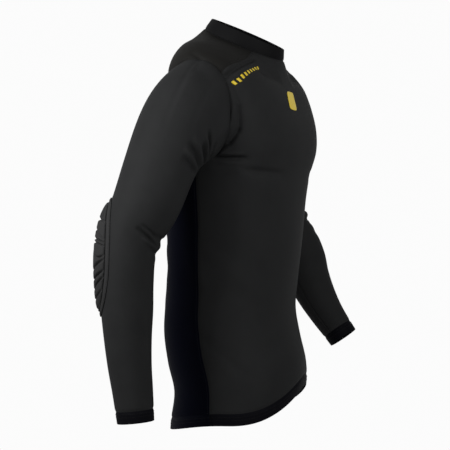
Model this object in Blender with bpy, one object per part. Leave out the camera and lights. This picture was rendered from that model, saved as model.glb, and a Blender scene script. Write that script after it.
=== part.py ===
"""A padded long-sleeved compression shirt, filled out and hollow, as it is worn.

The wearer faces -Y, the right sleeve is on -X, and +Z is up. The origin lies in the neck opening,
where the wearer's shoulders and neck hold the shirt. All sizes are in metres and degrees.
"""
import math

import bpy
import numpy as np

# Cloth and seams
CLOTH = 0.0016
BAND_CLOTH = 0.0022
COLLAR_CLOTH = 0.0024
SEAM_GAP = 0.0003
FULL_TURN = 2 * math.pi

# Torso, from the hem's lower edge up to the neck seam.
# Sweep keeps a section level at the sides and turns it up or down only near its front and back.
# Columns: half_width, front_y, back_y, middle_y, front_z, side_z, back_z, squareness, turn, sweep
TORSO_SECTIONS = (
    (0.1700, -0.1000, 0.1340, 0.0150, -0.6110, -0.6670, -0.6870, 2.20, 12.0, 1.5),
    (0.1690, -0.1010, 0.1320, 0.0150, -0.5910, -0.6470, -0.6670, 2.20, 11.5, 1.5),
    (0.1670, -0.0980, 0.1260, 0.0160, -0.5620, -0.6000, -0.6220, 2.20, 10.5, 1.2),
    (0.1640, -0.0870, 0.1370, 0.0240, -0.5200, -0.5480, -0.5720, 2.20, 9.0, 0.6),
    (0.1600, -0.0790, 0.1440, 0.0290, -0.4750, -0.4950, -0.5150, 2.20, 8.0, 0.2),
    (0.1570, -0.0820, 0.1390, 0.0260, -0.4300, -0.4400, -0.4500, 2.20, 6.5, 0.0),
    (0.1570, -0.0870, 0.1375, 0.0230, -0.3800, -0.3850, -0.3900, 2.20, 5.0, 0.0),
    (0.1600, -0.0910, 0.1360, 0.0200, -0.3300, -0.3300, -0.3300, 2.25, 4.0, 0.0),
    (0.1660, -0.0930, 0.1330, 0.0170, -0.2850, -0.2800, -0.2750, 2.30, 2.5, 0.0),
    (0.1720, -0.0970, 0.1300, 0.0140, -0.2450, -0.2350, -0.2300, 2.40, 1.2, 0.0),
    (0.1790, -0.1060, 0.1270, 0.0120, -0.2050, -0.1950, -0.1900, 2.50, 0.3, 0.0),
    (0.1860, -0.1050, 0.1250, 0.0130, -0.1700, -0.1550, -0.1500, 2.50, 0.0, 0.0),
    (0.1930, -0.0960, 0.1210, 0.0160, -0.1380, -0.1080, -0.1120, 2.45, 0.0, 0.0),
    (0.1900, -0.0840, 0.1150, 0.0220, -0.1110, -0.0560, -0.0740, 2.35, 0.0, 0.0),
    (0.1550, -0.0740, 0.1060, 0.0200, -0.0900, -0.0320, -0.0360, 2.20, 0.0, 0.0),
    (0.1080, -0.0660, 0.0920, 0.0120, -0.0690, -0.0230, -0.0080, 2.00, 0.0, 0.0),
    (0.0630, -0.0630, 0.0766, 0.0066, -0.0470, -0.0200, 0.0144, 2.00, 0.0, 0.0),
)
HEM_EDGE = 0.0
HEM_SEAM = 1.0
NECK = float(len(TORSO_SECTIONS) - 1)
SIDE_SEAM = 104.0

# Collar, from the neck seam to its top edge.
# Columns: half_width, half_depth, middle_y, front_z, side_z, back_z
COLLAR_SECTIONS = (
    (0.0630, 0.0698, 0.0068, -0.0470, -0.0200, 0.0144),
    (0.0602, 0.0668, 0.0034, -0.0370, -0.0087, 0.0224),
    (0.0570, 0.0640, 0.0000, -0.0271, 0.0025, 0.0302),
)

# Armhole, an oval seen from the side, counted in degrees from its front over the top
ARMHOLE_Y = 0.026
ARMHOLE_Z = -0.140
ARMHOLE_HALF_DEPTH = 0.058
ARMHOLE_HALF_HEIGHT = 0.083
ARMHOLE_SQUARENESS = 2.2
UNDERARM = -104.0
YOKE_FRONT = 42.0
YOKE_BACK = 132.0
YOKE_NECK_FRONT = 62.0
YOKE_BACK_SEAM = 12.85
YOKE_SEAM_BOW = 11.0

# Sleeves below the shoulder, for a sleeve on +X; the right one is mirrored.
# Columns: x, y, z, half_depth, half_width
SLEEVE_SECTIONS = {
    "right": (
        (0.2450, 0.0700, -0.2440, 0.0600, 0.0550),
        (0.2680, 0.0836, -0.3014, 0.0560, 0.0530),
        (0.2800, 0.0985, -0.3374, 0.0510, 0.0510),
        (0.2890, 0.1060, -0.3800, 0.0460, 0.0490),
        (0.2930, 0.1060, -0.4250, 0.0435, 0.0480),
        (0.2960, 0.1036, -0.4700, 0.0420, 0.0450),
        (0.2970, 0.1018, -0.5150, 0.0385, 0.0410),
        (0.2970, 0.0985, -0.5600, 0.0355, 0.0370),
        (0.2970, 0.0935, -0.6000, 0.0330, 0.0340),
        (0.2960, 0.0885, -0.6510, 0.0300, 0.0315),
    ),
    "left": (
        (0.2500, 0.0480, -0.2320, 0.0580, 0.0550),
        (0.2620, 0.0520, -0.2680, 0.0550, 0.0530),
        (0.2700, 0.0470, -0.3020, 0.0520, 0.0510),
        (0.2740, 0.0260, -0.3350, 0.0510, 0.0500),
        (0.2760, 0.0060, -0.3670, 0.0490, 0.0485),
        (0.2780, -0.0100, -0.3970, 0.0455, 0.0460),
        (0.2800, -0.0220, -0.4300, 0.0405, 0.0430),
        (0.2820, -0.0390, -0.4660, 0.0355, 0.0385),
        (0.2840, -0.0570, -0.4970, 0.0315, 0.0340),
        (0.2850, -0.0780, -0.5270, 0.0285, 0.0310),
        (0.2860, -0.0900, -0.5440, 0.0275, 0.0300),
    ),
}
SIDE = {"right": -1.0, "left": 1.0}
SHOULDER_ROUNDNESS = 1.20
SHOULDER_BACK = 0.9
SHOULDER_LENGTH = 0.10
CUFF_DEPTH = 0.020

# Elbow pad, measured on the sleeve: across it and down it
PAD_AT = {"right": 0.163, "left": 0.130}
PAD_ANGLE = 160.0
PAD_SLEEVE_RADIUS = 0.047
PAD_HALF_WIDTH = 0.038
PAD_HALF_LENGTH = 0.077
PAD_THICK = 0.0085
PAD_EDGE = 0.0022
PAD_CLEARANCE = 0.0007
BORDER_WIDTH = 0.0085
BORDER_THICK = 0.0018
# Columns: place down the pad from -1 to 1, share of the foam pressed away by the stitching
PAD_GROOVES = (
    (-0.66, 0.50),
    (-0.52, 0.35),
    (-0.37, 0.45),
    (-0.28, 0.45),
    (-0.03, 0.30),
    (0.16, 0.35),
    (0.34, 0.35),
    (0.52, 0.35),
    (0.70, 0.35),
    (0.86, 0.30),
)

# Folds in the cloth, seen as soft ridges and troughs. Each runs straight from its start to its end.
# Columns: start x, y, z, end x, y, z, half_width, height
TORSO_FOLDS = (
    (-0.166, -0.047, -0.112, -0.166, -0.036, -0.182, 0.007, -0.0020),
    (-0.166, -0.036, -0.182, -0.172, 0.004, -0.214, 0.007, -0.0022),
    (-0.168, 0.010, -0.222, -0.150, -0.055, -0.224, 0.008, -0.0030),
    (-0.168, 0.010, -0.238, -0.148, -0.060, -0.240, 0.008, 0.0018),
    (-0.148, -0.062, -0.245, -0.070, -0.098, -0.252, 0.009, -0.0018),
    (-0.160, 0.030, -0.360, -0.120, -0.060, -0.455, 0.014, 0.0020),
    (-0.160, 0.065, -0.340, -0.150, 0.020, -0.450, 0.014, 0.0018),
    (-0.150, 0.060, -0.420, -0.120, -0.050, -0.530, 0.016, -0.0020),
    (0.166, -0.047, -0.112, 0.166, -0.036, -0.182, 0.007, -0.0020),
    (0.166, -0.036, -0.182, 0.172, 0.004, -0.214, 0.007, -0.0022),
    (0.168, 0.010, -0.224, 0.145, -0.060, -0.230, 0.008, -0.0028),
    (0.160, 0.035, -0.350, 0.115, -0.062, -0.440, 0.014, 0.0020),
    (0.158, 0.060, -0.410, 0.125, -0.045, -0.520, 0.016, -0.0018),
    (-0.100, 0.118, -0.400, 0.080, 0.128, -0.440, 0.016, -0.0022),
    (-0.070, 0.128, -0.460, 0.110, 0.110, -0.490, 0.016, 0.0020),
    (-0.120, 0.070, -0.030, -0.112, 0.020, -0.026, 0.008, -0.0014),
)

# Fold rows on the sleeves, measured on the sleeve.
# Columns: angle round at start, distance down at start, angle at end, distance at end, half_width, height
SLEEVE_FOLDS = {
    "right": (
        (-62.0, -0.085, -40.0, -0.020, 0.0060, -0.0024),
        (-74.0, -0.085, -58.0, -0.005, 0.0060, -0.0026),
        (-86.0, -0.080, -78.0, 0.005, 0.0060, -0.0024),
        (-104.0, -0.080, -100.0, 0.000, 0.0070, -0.0022),
        (-68.0, -0.085, -48.0, -0.010, 0.0050, 0.0016),
        (-75.0, 0.105, 20.0, 0.112, 0.0070, -0.0024),
        (-80.0, 0.122, 30.0, 0.128, 0.0070, 0.0018),
        (-70.0, 0.140, 15.0, 0.141, 0.0070, -0.0022),
    ),
    "left": (
        (-62.0, -0.085, -40.0, -0.020, 0.0060, -0.0024),
        (-80.0, -0.085, -66.0, 0.000, 0.0060, -0.0026),
        (-100.0, -0.080, -95.0, 0.000, 0.0070, -0.0022),
        (-75.0, 0.092, 40.0, 0.098, 0.0080, -0.0030),
        (-80.0, 0.110, 45.0, 0.116, 0.0080, 0.0022),
        (-75.0, 0.128, 40.0, 0.134, 0.0080, -0.0030),
        (-60.0, 0.150, 30.0, 0.152, 0.0080, -0.0020),
    ),
}
SLEEVE_RADIUS = 0.048

# How finely the solids are drawn
UNDER_ROWS = 13
ARMHOLE_FRONT_STEPS = 8
ARMHOLE_YOKE_STEPS = 6
ARMHOLE_BACK_STEPS = 8
FRONT_STEPS = 20
BACK_STEPS = 18
YOKE_ROWS = 6
SHOULDER_ROWS = 8
ARM_ROWS = 20
COLLAR_STEPS = 36
PAD_COLUMNS = 10
FRONT_MIDDLE_ROWS = (HEM_SEAM, 8.8, 12.2, NECK)

# Colours, as linear red, green, blue
FRONT_BLACK = (0.0150, 0.0152, 0.0158)
BACK_BLACK = (0.0080, 0.0085, 0.0120)
YOKE_BLACK = (0.0165, 0.0160, 0.0155)
PAD_BLACK = (0.0100, 0.0100, 0.0105)


def clear_scene():
    """Remove every object from the scene."""
    for item in list(bpy.data.objects):
        bpy.data.objects.remove(item)


def cloth_material(name, colour, roughness):
    """A plain fabric finish."""
    material = bpy.data.materials.new(name)
    material.use_nodes = True
    shader = material.node_tree.nodes["Principled BSDF"]
    shader.inputs["Base Color"].default_value = (*colour, 1.0)
    shader.inputs["Roughness"].default_value = roughness
    shader.inputs["Metallic"].default_value = 0.0
    material.diffuse_color = (*colour, 1.0)
    return material


# Smooth curves and surfaces

def read_sections(sections, knots, at):
    """Values of a table of sections at any place between its rows, on smooth curves."""
    rows = np.asarray(sections, float)
    slopes = np.gradient(rows, knots, axis=0)
    at = np.clip(at, knots[0], knots[-1])
    low = np.clip(np.searchsorted(knots, at, side="right") - 1, 0, len(knots) - 2)
    length = (knots[low + 1] - knots[low])[..., None]
    part = (at - knots[low])[..., None] / length
    start = rows[low] * (2 * part**3 - 3 * part**2 + 1)
    end = rows[low + 1] * (3 * part**2 - 2 * part**3)
    leaving = slopes[low] * length * (part**3 - 2 * part**2 + part)
    arriving = slopes[low + 1] * length * (part**3 - part**2)
    return start + end + leaving + arriving


def unit(vectors):
    """Vectors of length one."""
    return vectors / np.linalg.norm(vectors, axis=-1, keepdims=True)


def smooth_step(value):
    """A soft rise from 0 to 1."""
    value = np.clip(value, 0.0, 1.0)
    return value * value * (3 - 2 * value)


def squircle(angle, squareness):
    """How much further out a squarer oval lies than a plain one, at an angle."""
    total = np.abs(np.sin(angle)) ** squareness + np.abs(np.cos(angle)) ** squareness
    return total ** (-1 / squareness)


def tilted_height(forward, front_z, side_z, back_z, sweep=0.0):
    """Height round a section, where forward is 1 at the front, 0 at the sides and -1 at the back."""
    tilt = (front_z - back_z) / 2
    dip = (front_z + back_z) / 2 - side_z
    return side_z + (tilt * forward + dip * forward**2) * np.abs(forward) ** sweep


def normals_of(surface, first, second, step=1e-4):
    """Directions square to a surface, by small steps along its two coordinates."""
    along_first = surface(first + step, second) - surface(first - step, second)
    along_second = surface(first, second + step) - surface(first, second - step)
    return unit(np.cross(along_first, along_second))


def fold_height(points, folds):
    """How far folds lift or sink the cloth at some points."""
    height = np.zeros(points.shape[:-1])
    for fold in folds:
        start = np.array(fold[0:3])
        run = np.array(fold[3:6]) - start
        half_width, rise = fold[6:8]
        place = ((points - start) @ run) / (run @ run)
        nearest = start + np.clip(place, 0, 1)[..., None] * run
        away = np.linalg.norm(points - nearest, axis=-1)
        ends = smooth_step((place + 0.25) / 0.5) * smooth_step((1.25 - place) / 0.5)
        height += rise * ends * np.exp(-((away / half_width) ** 2))
    return height


# Torso

def plain_torso(angle, row):
    """The torso without folds: angle in radians from the front, row counted up from the hem."""
    angle, row = np.broadcast_arrays(angle, row)
    knots = np.arange(len(TORSO_SECTIONS), dtype=float)
    values = read_sections(TORSO_SECTIONS, knots, row)
    half_width, front_y, back_y, middle_y, front_z, side_z, back_z = np.moveaxis(values[..., :7], -1, 0)
    squareness, turn, sweep = np.moveaxis(values[..., 7:], -1, 0)
    forward = np.cos(angle)
    out = squircle(angle, squareness)
    depth = np.where(forward > 0, front_y - middle_y, middle_y - back_y)
    x = half_width * np.sin(angle) * out
    y = depth * forward * out
    turn = np.radians(turn)
    z = tilted_height(forward, front_z, side_z, back_z, sweep)
    return np.stack([
        x * np.cos(turn) - y * np.sin(turn),
        middle_y + x * np.sin(turn) + y * np.cos(turn),
        z,
    ], axis=-1)


def torso(angle, row):
    """Points of the torso cloth and their outward directions."""
    points = plain_torso(angle, row)
    outward = normals_of(plain_torso, *np.broadcast_arrays(angle, row))
    return points + outward * fold_height(points, TORSO_FOLDS)[..., None], outward


def find_on_torso(y, z):
    """The torso angle and row of the point on the left side that has a given y and z."""
    angle = np.full(np.shape(y), math.radians(92))
    row = np.interp(z, [-0.235, -0.195, -0.155, -0.108, -0.060], [9, 10, 11, 12, 13])
    step = 1e-4
    for _ in range(40):
        here = plain_torso(angle, row)[..., 1:3]
        by_angle = (plain_torso(angle + step, row)[..., 1:3] - here) / step
        by_row = (plain_torso(angle, row + step)[..., 1:3] - here) / step
        miss = np.stack([y, z], axis=-1) - here
        area = by_angle[..., 0] * by_row[..., 1] - by_angle[..., 1] * by_row[..., 0]
        move_angle = (miss[..., 0] * by_row[..., 1] - miss[..., 1] * by_row[..., 0]) / area
        move_row = (by_angle[..., 0] * miss[..., 1] - by_angle[..., 1] * miss[..., 0]) / area
        angle = angle + np.clip(move_angle, -0.15, 0.15)
        row = row + np.clip(move_row, -0.5, 0.5)
    return angle, row


def armhole(turn):
    """Torso angle and row of the left armhole seam at an angle in degrees, from its front over its top."""
    turn = np.radians(turn)
    out = squircle(turn, ARMHOLE_SQUARENESS)
    y = ARMHOLE_Y - ARMHOLE_HALF_DEPTH * np.cos(turn) * out
    z = ARMHOLE_Z + ARMHOLE_HALF_HEIGHT * np.sin(turn) * out
    return find_on_torso(y, z)


# Sleeves

def sleeve_knots(name):
    """Distance down the sleeve at each of its sections."""
    centres = np.asarray(SLEEVE_SECTIONS[name])[:, :3]
    steps = np.linalg.norm(np.diff(centres, axis=0), axis=1)
    return np.concatenate([[0.0], np.cumsum(steps)])


def arm_point(name, angle, down):
    """A point of the sleeve below the shoulder: angle in radians, distance down in metres."""
    angle, down = np.broadcast_arrays(angle, down)
    knots = sleeve_knots(name)
    step = 1e-4
    values = read_sections(SLEEVE_SECTIONS[name], knots, down)
    ahead = read_sections(SLEEVE_SECTIONS[name], knots, np.clip(down + step, step, knots[-1]))
    behind = read_sections(SLEEVE_SECTIONS[name], knots, np.clip(down - step, 0, knots[-1] - step))
    along = unit(ahead[..., :3] - behind[..., :3])
    forward = np.array([0.0, -1.0, 0.0]) - along * -along[..., 1:2]
    forward = unit(forward)
    outward = np.cross(forward, along)
    half_depth = values[..., 3:4]
    half_width = values[..., 4:5]
    around = forward * np.cos(angle)[..., None] * half_depth + outward * np.sin(angle)[..., None] * half_width
    beyond = (down - np.clip(down, 0, knots[-1]))[..., None]
    points = values[..., :3] + around + along * beyond
    return points * np.array([SIDE[name], 1.0, 1.0])


def armhole_edge(name, turns):
    """Points of the armhole seam, and the directions that lead from the torso cloth into the hole."""
    side = SIDE[name]
    step = 0.5
    angle, row = armhole(turns)
    angle_after, row_after = armhole(turns + step)
    angle_before, row_before = armhole(turns - step)
    points, outward = torso(side * angle, row)
    seam_way = plain_torso(side * angle_after, row_after) - plain_torso(side * angle_before, row_before)
    into_hole = -side * np.cross(outward, seam_way)
    return points, unit(into_hole)


def shoulder_point(name, turns, edge, into_hole, share):
    """A point between the armhole seam, at share 0, and the top of the arm, at share 1."""
    angle = np.radians(turns)
    top = (1 + np.sin(angle)) / 2
    arm_start = arm_point(name, angle, np.zeros_like(angle))
    arm_way = unit(arm_point(name, angle, np.full_like(angle, 0.004)) - arm_start)
    start = edge + into_hole * SEAM_GAP / 2
    behind = np.clip(-np.cos(angle), 0, 1) * SHOULDER_BACK
    sideways = np.stack([np.full_like(angle, SIDE[name]), behind, 0 * angle], axis=-1)
    leave = unit(sideways + into_hole * 0.4 * top[..., None] + arm_way * 1.2 * (1 - top[..., None]))
    reach = np.linalg.norm(arm_start - start, axis=-1, keepdims=True) * SHOULDER_ROUNDNESS
    s = share[..., None]
    return (
        start * (2 * s**3 - 3 * s**2 + 1)
        + leave * reach * (s**3 - 2 * s**2 + s)
        + arm_start * (3 * s**2 - 2 * s**3)
        + arm_way * reach * (s**3 - s**2)
    )


def plain_sleeve(name, turns, down):
    """The sleeve without folds. Below 0 the distance leads up over the shoulder to the armhole."""
    turns, down = np.broadcast_arrays(np.asarray(turns, float), np.asarray(down, float))
    edge, into_hole = armhole_edge(name, turns)
    share = np.clip(1 + down / SHOULDER_LENGTH, 0, 1)
    over_shoulder = shoulder_point(name, turns, edge, into_hole, share)
    below = arm_point(name, np.radians(turns), np.maximum(down, 0))
    return np.where((down < 0)[..., None], over_shoulder, below)


def sleeve(name, turns, down):
    """Points of the sleeve cloth and their outward directions."""
    turns, down = np.broadcast_arrays(np.asarray(turns, float), np.asarray(down, float))
    points = plain_sleeve(name, turns, down)
    turn_step = 0.5
    down_step = 0.0005
    around = plain_sleeve(name, turns + turn_step, down) - plain_sleeve(name, turns - turn_step, down)
    top = np.maximum(down - down_step, -SHOULDER_LENGTH)
    along = plain_sleeve(name, turns, top + 2 * down_step) - plain_sleeve(name, turns, top)
    outward = SIDE[name] * unit(np.cross(along, around))
    flat_folds = [
        (math.radians(a) * SLEEVE_RADIUS, b, 0, math.radians(c) * SLEEVE_RADIUS, d, 0, half_width, height)
        for a, b, c, d, half_width, height in SLEEVE_FOLDS[name]
    ]
    wrapped = (turns + 180 - UNDERARM) % 360 - 180 + UNDERARM
    flat = np.stack([np.radians(wrapped) * SLEEVE_RADIUS, down, 0 * down], axis=-1)
    fade = smooth_step((down + SHOULDER_LENGTH) / 0.02)
    return points + outward * (fold_height(flat, flat_folds) * fade)[..., None], outward


# Turning grids of points into closed cloth

def closed_cloth(name, outer, inner, material, ring):
    """A solid between two grids of points. A ring's first coordinate goes all the way round."""
    columns, rows = outer.shape[:2]
    points = np.concatenate([outer.reshape(-1, 3), inner.reshape(-1, 3)])
    behind = columns * rows
    faces = []
    last = columns if ring else columns - 1
    for i in range(last):
        j = (i + 1) % columns
        for k in range(rows - 1):
            a, b = i * rows + k, j * rows + k
            faces.append((a, b, b + 1, a + 1))
            faces.append((behind + a, behind + a + 1, behind + b + 1, behind + b))
        bottom, beside = i * rows, j * rows
        faces.append((bottom, bottom + behind, beside + behind, beside))
        top, beside_top = bottom + rows - 1, beside + rows - 1
        faces.append((top, beside_top, beside_top + behind, top + behind))
    if not ring:
        far = (columns - 1) * rows
        for k in range(rows - 1):
            faces.append((k, k + 1, k + 1 + behind, k + behind))
            faces.append((far + k, far + k + behind, far + k + 1 + behind, far + k + 1))
    return mesh_object(name, points, faces, material)


def mesh_object(name, points, faces, material):
    """A mesh object whose faces point out."""
    mesh = bpy.data.meshes.new(name)
    mesh.from_pydata([tuple(point) for point in points], [], faces)
    if signed_volume(points, faces) < 0:
        mesh.flip_normals()
    mesh.materials.append(material)
    mesh.shade_smooth()
    mesh.set_sharp_from_angle(angle=math.radians(50))
    item = bpy.data.objects.new(name, mesh)
    bpy.context.scene.collection.objects.link(item)
    return item


def signed_volume(points, faces):
    """Six times the volume inside some four-sided faces, negative if they point inwards."""
    quads = points[np.array(faces)]
    first = np.einsum("ij,ij->i", quads[:, 0], np.cross(quads[:, 1], quads[:, 2]))
    second = np.einsum("ij,ij->i", quads[:, 0], np.cross(quads[:, 2], quads[:, 3]))
    return first.sum() + second.sum()


def draw_in(grid, outward, axis, end, ring):
    """Move one edge of a grid of points half a seam gap into its own piece, square to the seam."""
    if axis == 1:
        grid, outward = grid.transpose(1, 0, 2), outward.transpose(1, 0, 2)
    at, beside = (0, 1) if end == "start" else (-1, -2)
    edge = grid[at].copy()
    if ring:
        along = np.roll(edge, -1, axis=0) - np.roll(edge, 1, axis=0)
    else:
        along = np.gradient(edge, axis=0)
    inward = unit(np.cross(outward[at], along))
    inward *= np.sign(np.sum(inward * (grid[beside] - edge)))
    grid[at] = edge + inward * SEAM_GAP / 2


def seamed_cloth(name, points, outward, thickness, material, edges, ring=False):
    """Cloth with its outer side on the points, drawn in at its seams."""
    seamed = points.copy()
    for axis, end in edges:
        draw_in(seamed, outward, axis, end, ring)
    return closed_cloth(name, seamed, seamed - outward * thickness, material, ring)


# Panels

def side_edge(back):
    """Torso angle and row up the side seam and round the armhole to the yoke, on the left side."""
    finish = YOKE_BACK if back else YOKE_FRONT
    start = UNDERARM + 360 if back else UNDERARM
    steps = ARMHOLE_BACK_STEPS if back else ARMHOLE_FRONT_STEPS
    hole_angle, hole_row = armhole(np.linspace(start, finish, steps + 1))
    rows = np.linspace(HEM_SEAM, hole_row[0], UNDER_ROWS + 1)[:-1]
    rise = smooth_step((rows - HEM_SEAM) / (hole_row[0] - HEM_SEAM))
    angles = math.radians(SIDE_SEAM) * (1 - rise) + hole_angle[0] * rise
    return np.concatenate([angles, hole_angle]), np.concatenate([rows, hole_row])


def yoke_front_seam(share, hole_angle, hole_row):
    """Torso angle and row of the yoke's front seam, from the neck at 0 to the left armhole at 1."""
    neck_angle = math.radians(YOKE_NECK_FRONT)
    bow = math.radians(YOKE_SEAM_BOW) * 4 * share * (1 - share)
    return neck_angle + (hole_angle - neck_angle) * share - bow, NECK + (hole_row - NECK) * share


def front_panel(material):
    """The front, from side seam to side seam and up to the yoke and neck."""
    side_angle, side_row = side_edge(back=False)
    to_neck = np.linspace(1, 0, YOKE_ROWS + 1)[1:]
    seam_angle, seam_row = yoke_front_seam(to_neck, side_angle[-1], side_row[-1])
    edge_angle = np.concatenate([side_angle, seam_angle])
    edge_row = np.concatenate([side_row, seam_row])
    steps = np.arange(len(edge_row))
    stages = (0, UNDER_ROWS, UNDER_ROWS + ARMHOLE_FRONT_STEPS, steps[-1])
    middle_row = np.interp(steps, stages, FRONT_MIDDLE_ROWS)
    across = np.linspace(-1, 1, FRONT_STEPS + 1)[:, None]
    angle = across * edge_angle
    row = middle_row + np.abs(across) ** 3 * (edge_row - middle_row)
    points, outward = torso(angle, row)
    edges = ((0, "start"), (0, "end"), (1, "start"), (1, "end"))
    return seamed_cloth("front", points, outward, CLOTH, material, edges)


def back_panel(material):
    """The back, from side seam to side seam and up to the yoke."""
    edge_angle, edge_row = side_edge(back=True)
    across = np.linspace(-1, 1, BACK_STEPS + 1)
    up = np.linspace(0, 1, len(edge_row))
    s, t = across[:, None], up[None, :]
    angle = math.pi - s * (math.pi - edge_angle[None, :])
    straight = (1 - t) * edge_row[0] + t * edge_row[-1]
    top_row = yoke_back_row(s, edge_row[-1])
    middle = (1 - t) * edge_row[0] + t * top_row
    row = middle + np.abs(s) ** 2 * (edge_row[None, :] - straight)
    points, outward = torso(angle, row)
    edges = ((0, "start"), (0, "end"), (1, "start"), (1, "end"))
    return seamed_cloth("back", points, outward, CLOTH, material, edges)


def yoke_back_row(across, end_row):
    """Torso row of the yoke's back seam, from -1 at one armhole to 1 at the other."""
    return YOKE_BACK_SEAM + (end_row - YOKE_BACK_SEAM) * across**2


def yoke_panel(material):
    """The yoke, from one front seam over the shoulders and the upper back to the other."""
    hole_turns = np.linspace(YOKE_FRONT, YOKE_BACK, ARMHOLE_YOKE_STEPS + 1)
    hole_angle, hole_row = armhole(hole_turns)
    across = np.linspace(1, -1, BACK_STEPS + 1)
    seam_angle = math.pi - across * (math.pi - hole_angle[-1])
    seam_row = yoke_back_row(across, hole_row[-1])
    outer_angle = np.concatenate([hole_angle, seam_angle[1:-1], 2 * math.pi - hole_angle[::-1]])
    outer_row = np.concatenate([hole_row, seam_row[1:-1], hole_row[::-1]])
    neck_start = math.radians(YOKE_NECK_FRONT)
    neck_turn = math.radians(118)
    neck_side = np.linspace(neck_start, neck_turn, ARMHOLE_YOKE_STEPS + 1)
    neck_back = np.linspace(neck_turn, 2 * math.pi - neck_turn, BACK_STEPS + 1)
    neck_angle = np.concatenate([neck_side, neck_back[1:-1], 2 * math.pi - neck_side[::-1]])
    share = np.linspace(0, 1, YOKE_ROWS + 1)[None, :]
    bow = math.radians(YOKE_SEAM_BOW) * 4 * share * (1 - share)
    from_end = np.linspace(-1, 1, len(neck_angle))[:, None]
    angle = neck_angle[:, None] * (1 - share) + outer_angle[:, None] * share + from_end**9 * bow
    row = NECK * (1 - share) + outer_row[:, None] * share
    points, outward = torso(angle, row)
    edges = ((0, "start"), (0, "end"), (1, "start"), (1, "end"))
    return seamed_cloth("yoke", points, outward, CLOTH, material, edges)


def hem_band(name, material, back):
    """The turned band below the front or back panel."""
    side = math.radians(SIDE_SEAM)
    if back:
        angles = np.linspace(side, FULL_TURN - side, BACK_STEPS + 1)
    else:
        angles = np.linspace(-side, side, FRONT_STEPS + 1)
    rows = np.linspace(HEM_EDGE, HEM_SEAM, 3)
    points, outward = torso(angles[:, None], rows[None, :])
    edges = ((0, "start"), (0, "end"), (1, "end"))
    return seamed_cloth(name, points, outward, BAND_CLOTH, material, edges)


def collar_surface(angle, up):
    """A point of the collar, from its seam at 0 to its top edge at 1."""
    angle, up = np.broadcast_arrays(angle, up)
    knots = np.linspace(0, 1, len(COLLAR_SECTIONS))
    values = read_sections(COLLAR_SECTIONS, knots, up)
    half_width, half_depth, middle_y, front_z, side_z, back_z = np.moveaxis(values, -1, 0)
    forward = np.cos(angle)
    x = half_width * np.sin(angle)
    y = middle_y - half_depth * forward
    z = tilted_height(forward, front_z, side_z, back_z)
    return np.stack([x, y, z], axis=-1)


def collar(material):
    """The stand collar."""
    angles = np.linspace(0, FULL_TURN, COLLAR_STEPS + 1)[:-1, None]
    up = np.linspace(0, 1, 4)[None, :]
    points = collar_surface(*np.broadcast_arrays(angles, up))
    outward = unit(points - np.array([0.0, 0.004, 0.0]))
    outward[..., 2] = 0.0
    outward = unit(outward)
    return seamed_cloth("collar", points, outward, COLLAR_CLOTH, material, ((1, "start"),), ring=True)


def ring_turns():
    """Angles round the armhole at which every panel that meets it has a point."""
    front = np.linspace(UNDERARM, YOKE_FRONT, ARMHOLE_FRONT_STEPS + 1)[:-1]
    yoke = np.linspace(YOKE_FRONT, YOKE_BACK, ARMHOLE_YOKE_STEPS + 1)[:-1]
    back = np.linspace(YOKE_BACK, UNDERARM + 360, ARMHOLE_BACK_STEPS + 1)[:-1]
    return np.concatenate([front, yoke, back])


def sleeve_tube(name, material):
    """One sleeve, from its armhole to its cuff seam."""
    length = sleeve_knots(name)[-1] - CUFF_DEPTH
    shoulder = np.linspace(-SHOULDER_LENGTH, 0, SHOULDER_ROWS + 1)[:-1]
    arm = np.linspace(0, length, ARM_ROWS + 1)
    down = np.concatenate([shoulder, arm])
    points, outward = sleeve(name, ring_turns()[:, None], down[None, :])
    return seamed_cloth(f"sleeve_{name}", points, outward, CLOTH, material, ((1, "end"),), ring=True)


def cuff(name, material):
    """The turned band at the end of one sleeve."""
    end = sleeve_knots(name)[-1]
    down = np.linspace(end - CUFF_DEPTH, end, 3)
    points, outward = sleeve(name, ring_turns()[:, None], down[None, :])
    return seamed_cloth(f"cuff_{name}", points, outward, BAND_CLOTH, material, ((1, "start"),), ring=True)


# Elbow pads

def pad_place(name, across, along):
    """Sleeve angle and distance of a place on the pad, measured in metres from its middle."""
    turns = PAD_ANGLE + np.degrees(across / PAD_SLEEVE_RADIUS)
    return turns, PAD_AT[name] + along


def pad_rows():
    """Places down the pad: each groove, and one or more rows of foam between two grooves."""
    marks = [-1.0] + [place for place, _ in PAD_GROOVES] + [1.0]
    rows = [marks[0]]
    for start, end in zip(marks, marks[1:]):
        between = 3 if end - start > 0.2 else 1
        rows.extend(np.linspace(start, end, between + 2)[1:])
    return np.array(rows)


def pad_relief(down):
    """Share of the full foam that is left between and at the stitched grooves."""
    left = np.ones_like(down)
    for place, pressed in PAD_GROOVES:
        left *= 1 - pressed * np.exp(-(((down - place) / 0.035) ** 2))
    return left


def elbow_pad(name, material):
    """The quilted pad: an oval of foam on the sleeve, thick in its cells and thin at its stitching."""
    p = np.linspace(-1, 1, PAD_COLUMNS + 1)[:, None]
    q = pad_rows()[None, :]
    across = p * np.sqrt(1 - q**2 / 2)
    along = q * np.sqrt(1 - p**2 / 2)
    turns, down = pad_place(name, across * PAD_HALF_WIDTH, along * PAD_HALF_LENGTH)
    points, outward = sleeve(name, turns, down)
    dome = np.sqrt(np.clip(1 - (across**2 + along**2) ** 2, 0, 1))
    thickness = PAD_EDGE + (PAD_THICK - PAD_EDGE) * dome * pad_relief(q + 0 * p)
    inner = points + outward * PAD_CLEARANCE
    outer = inner + outward * thickness[..., None]
    return closed_cloth(f"elbow_pad_{name}", outer, inner, material, ring=False)


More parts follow.
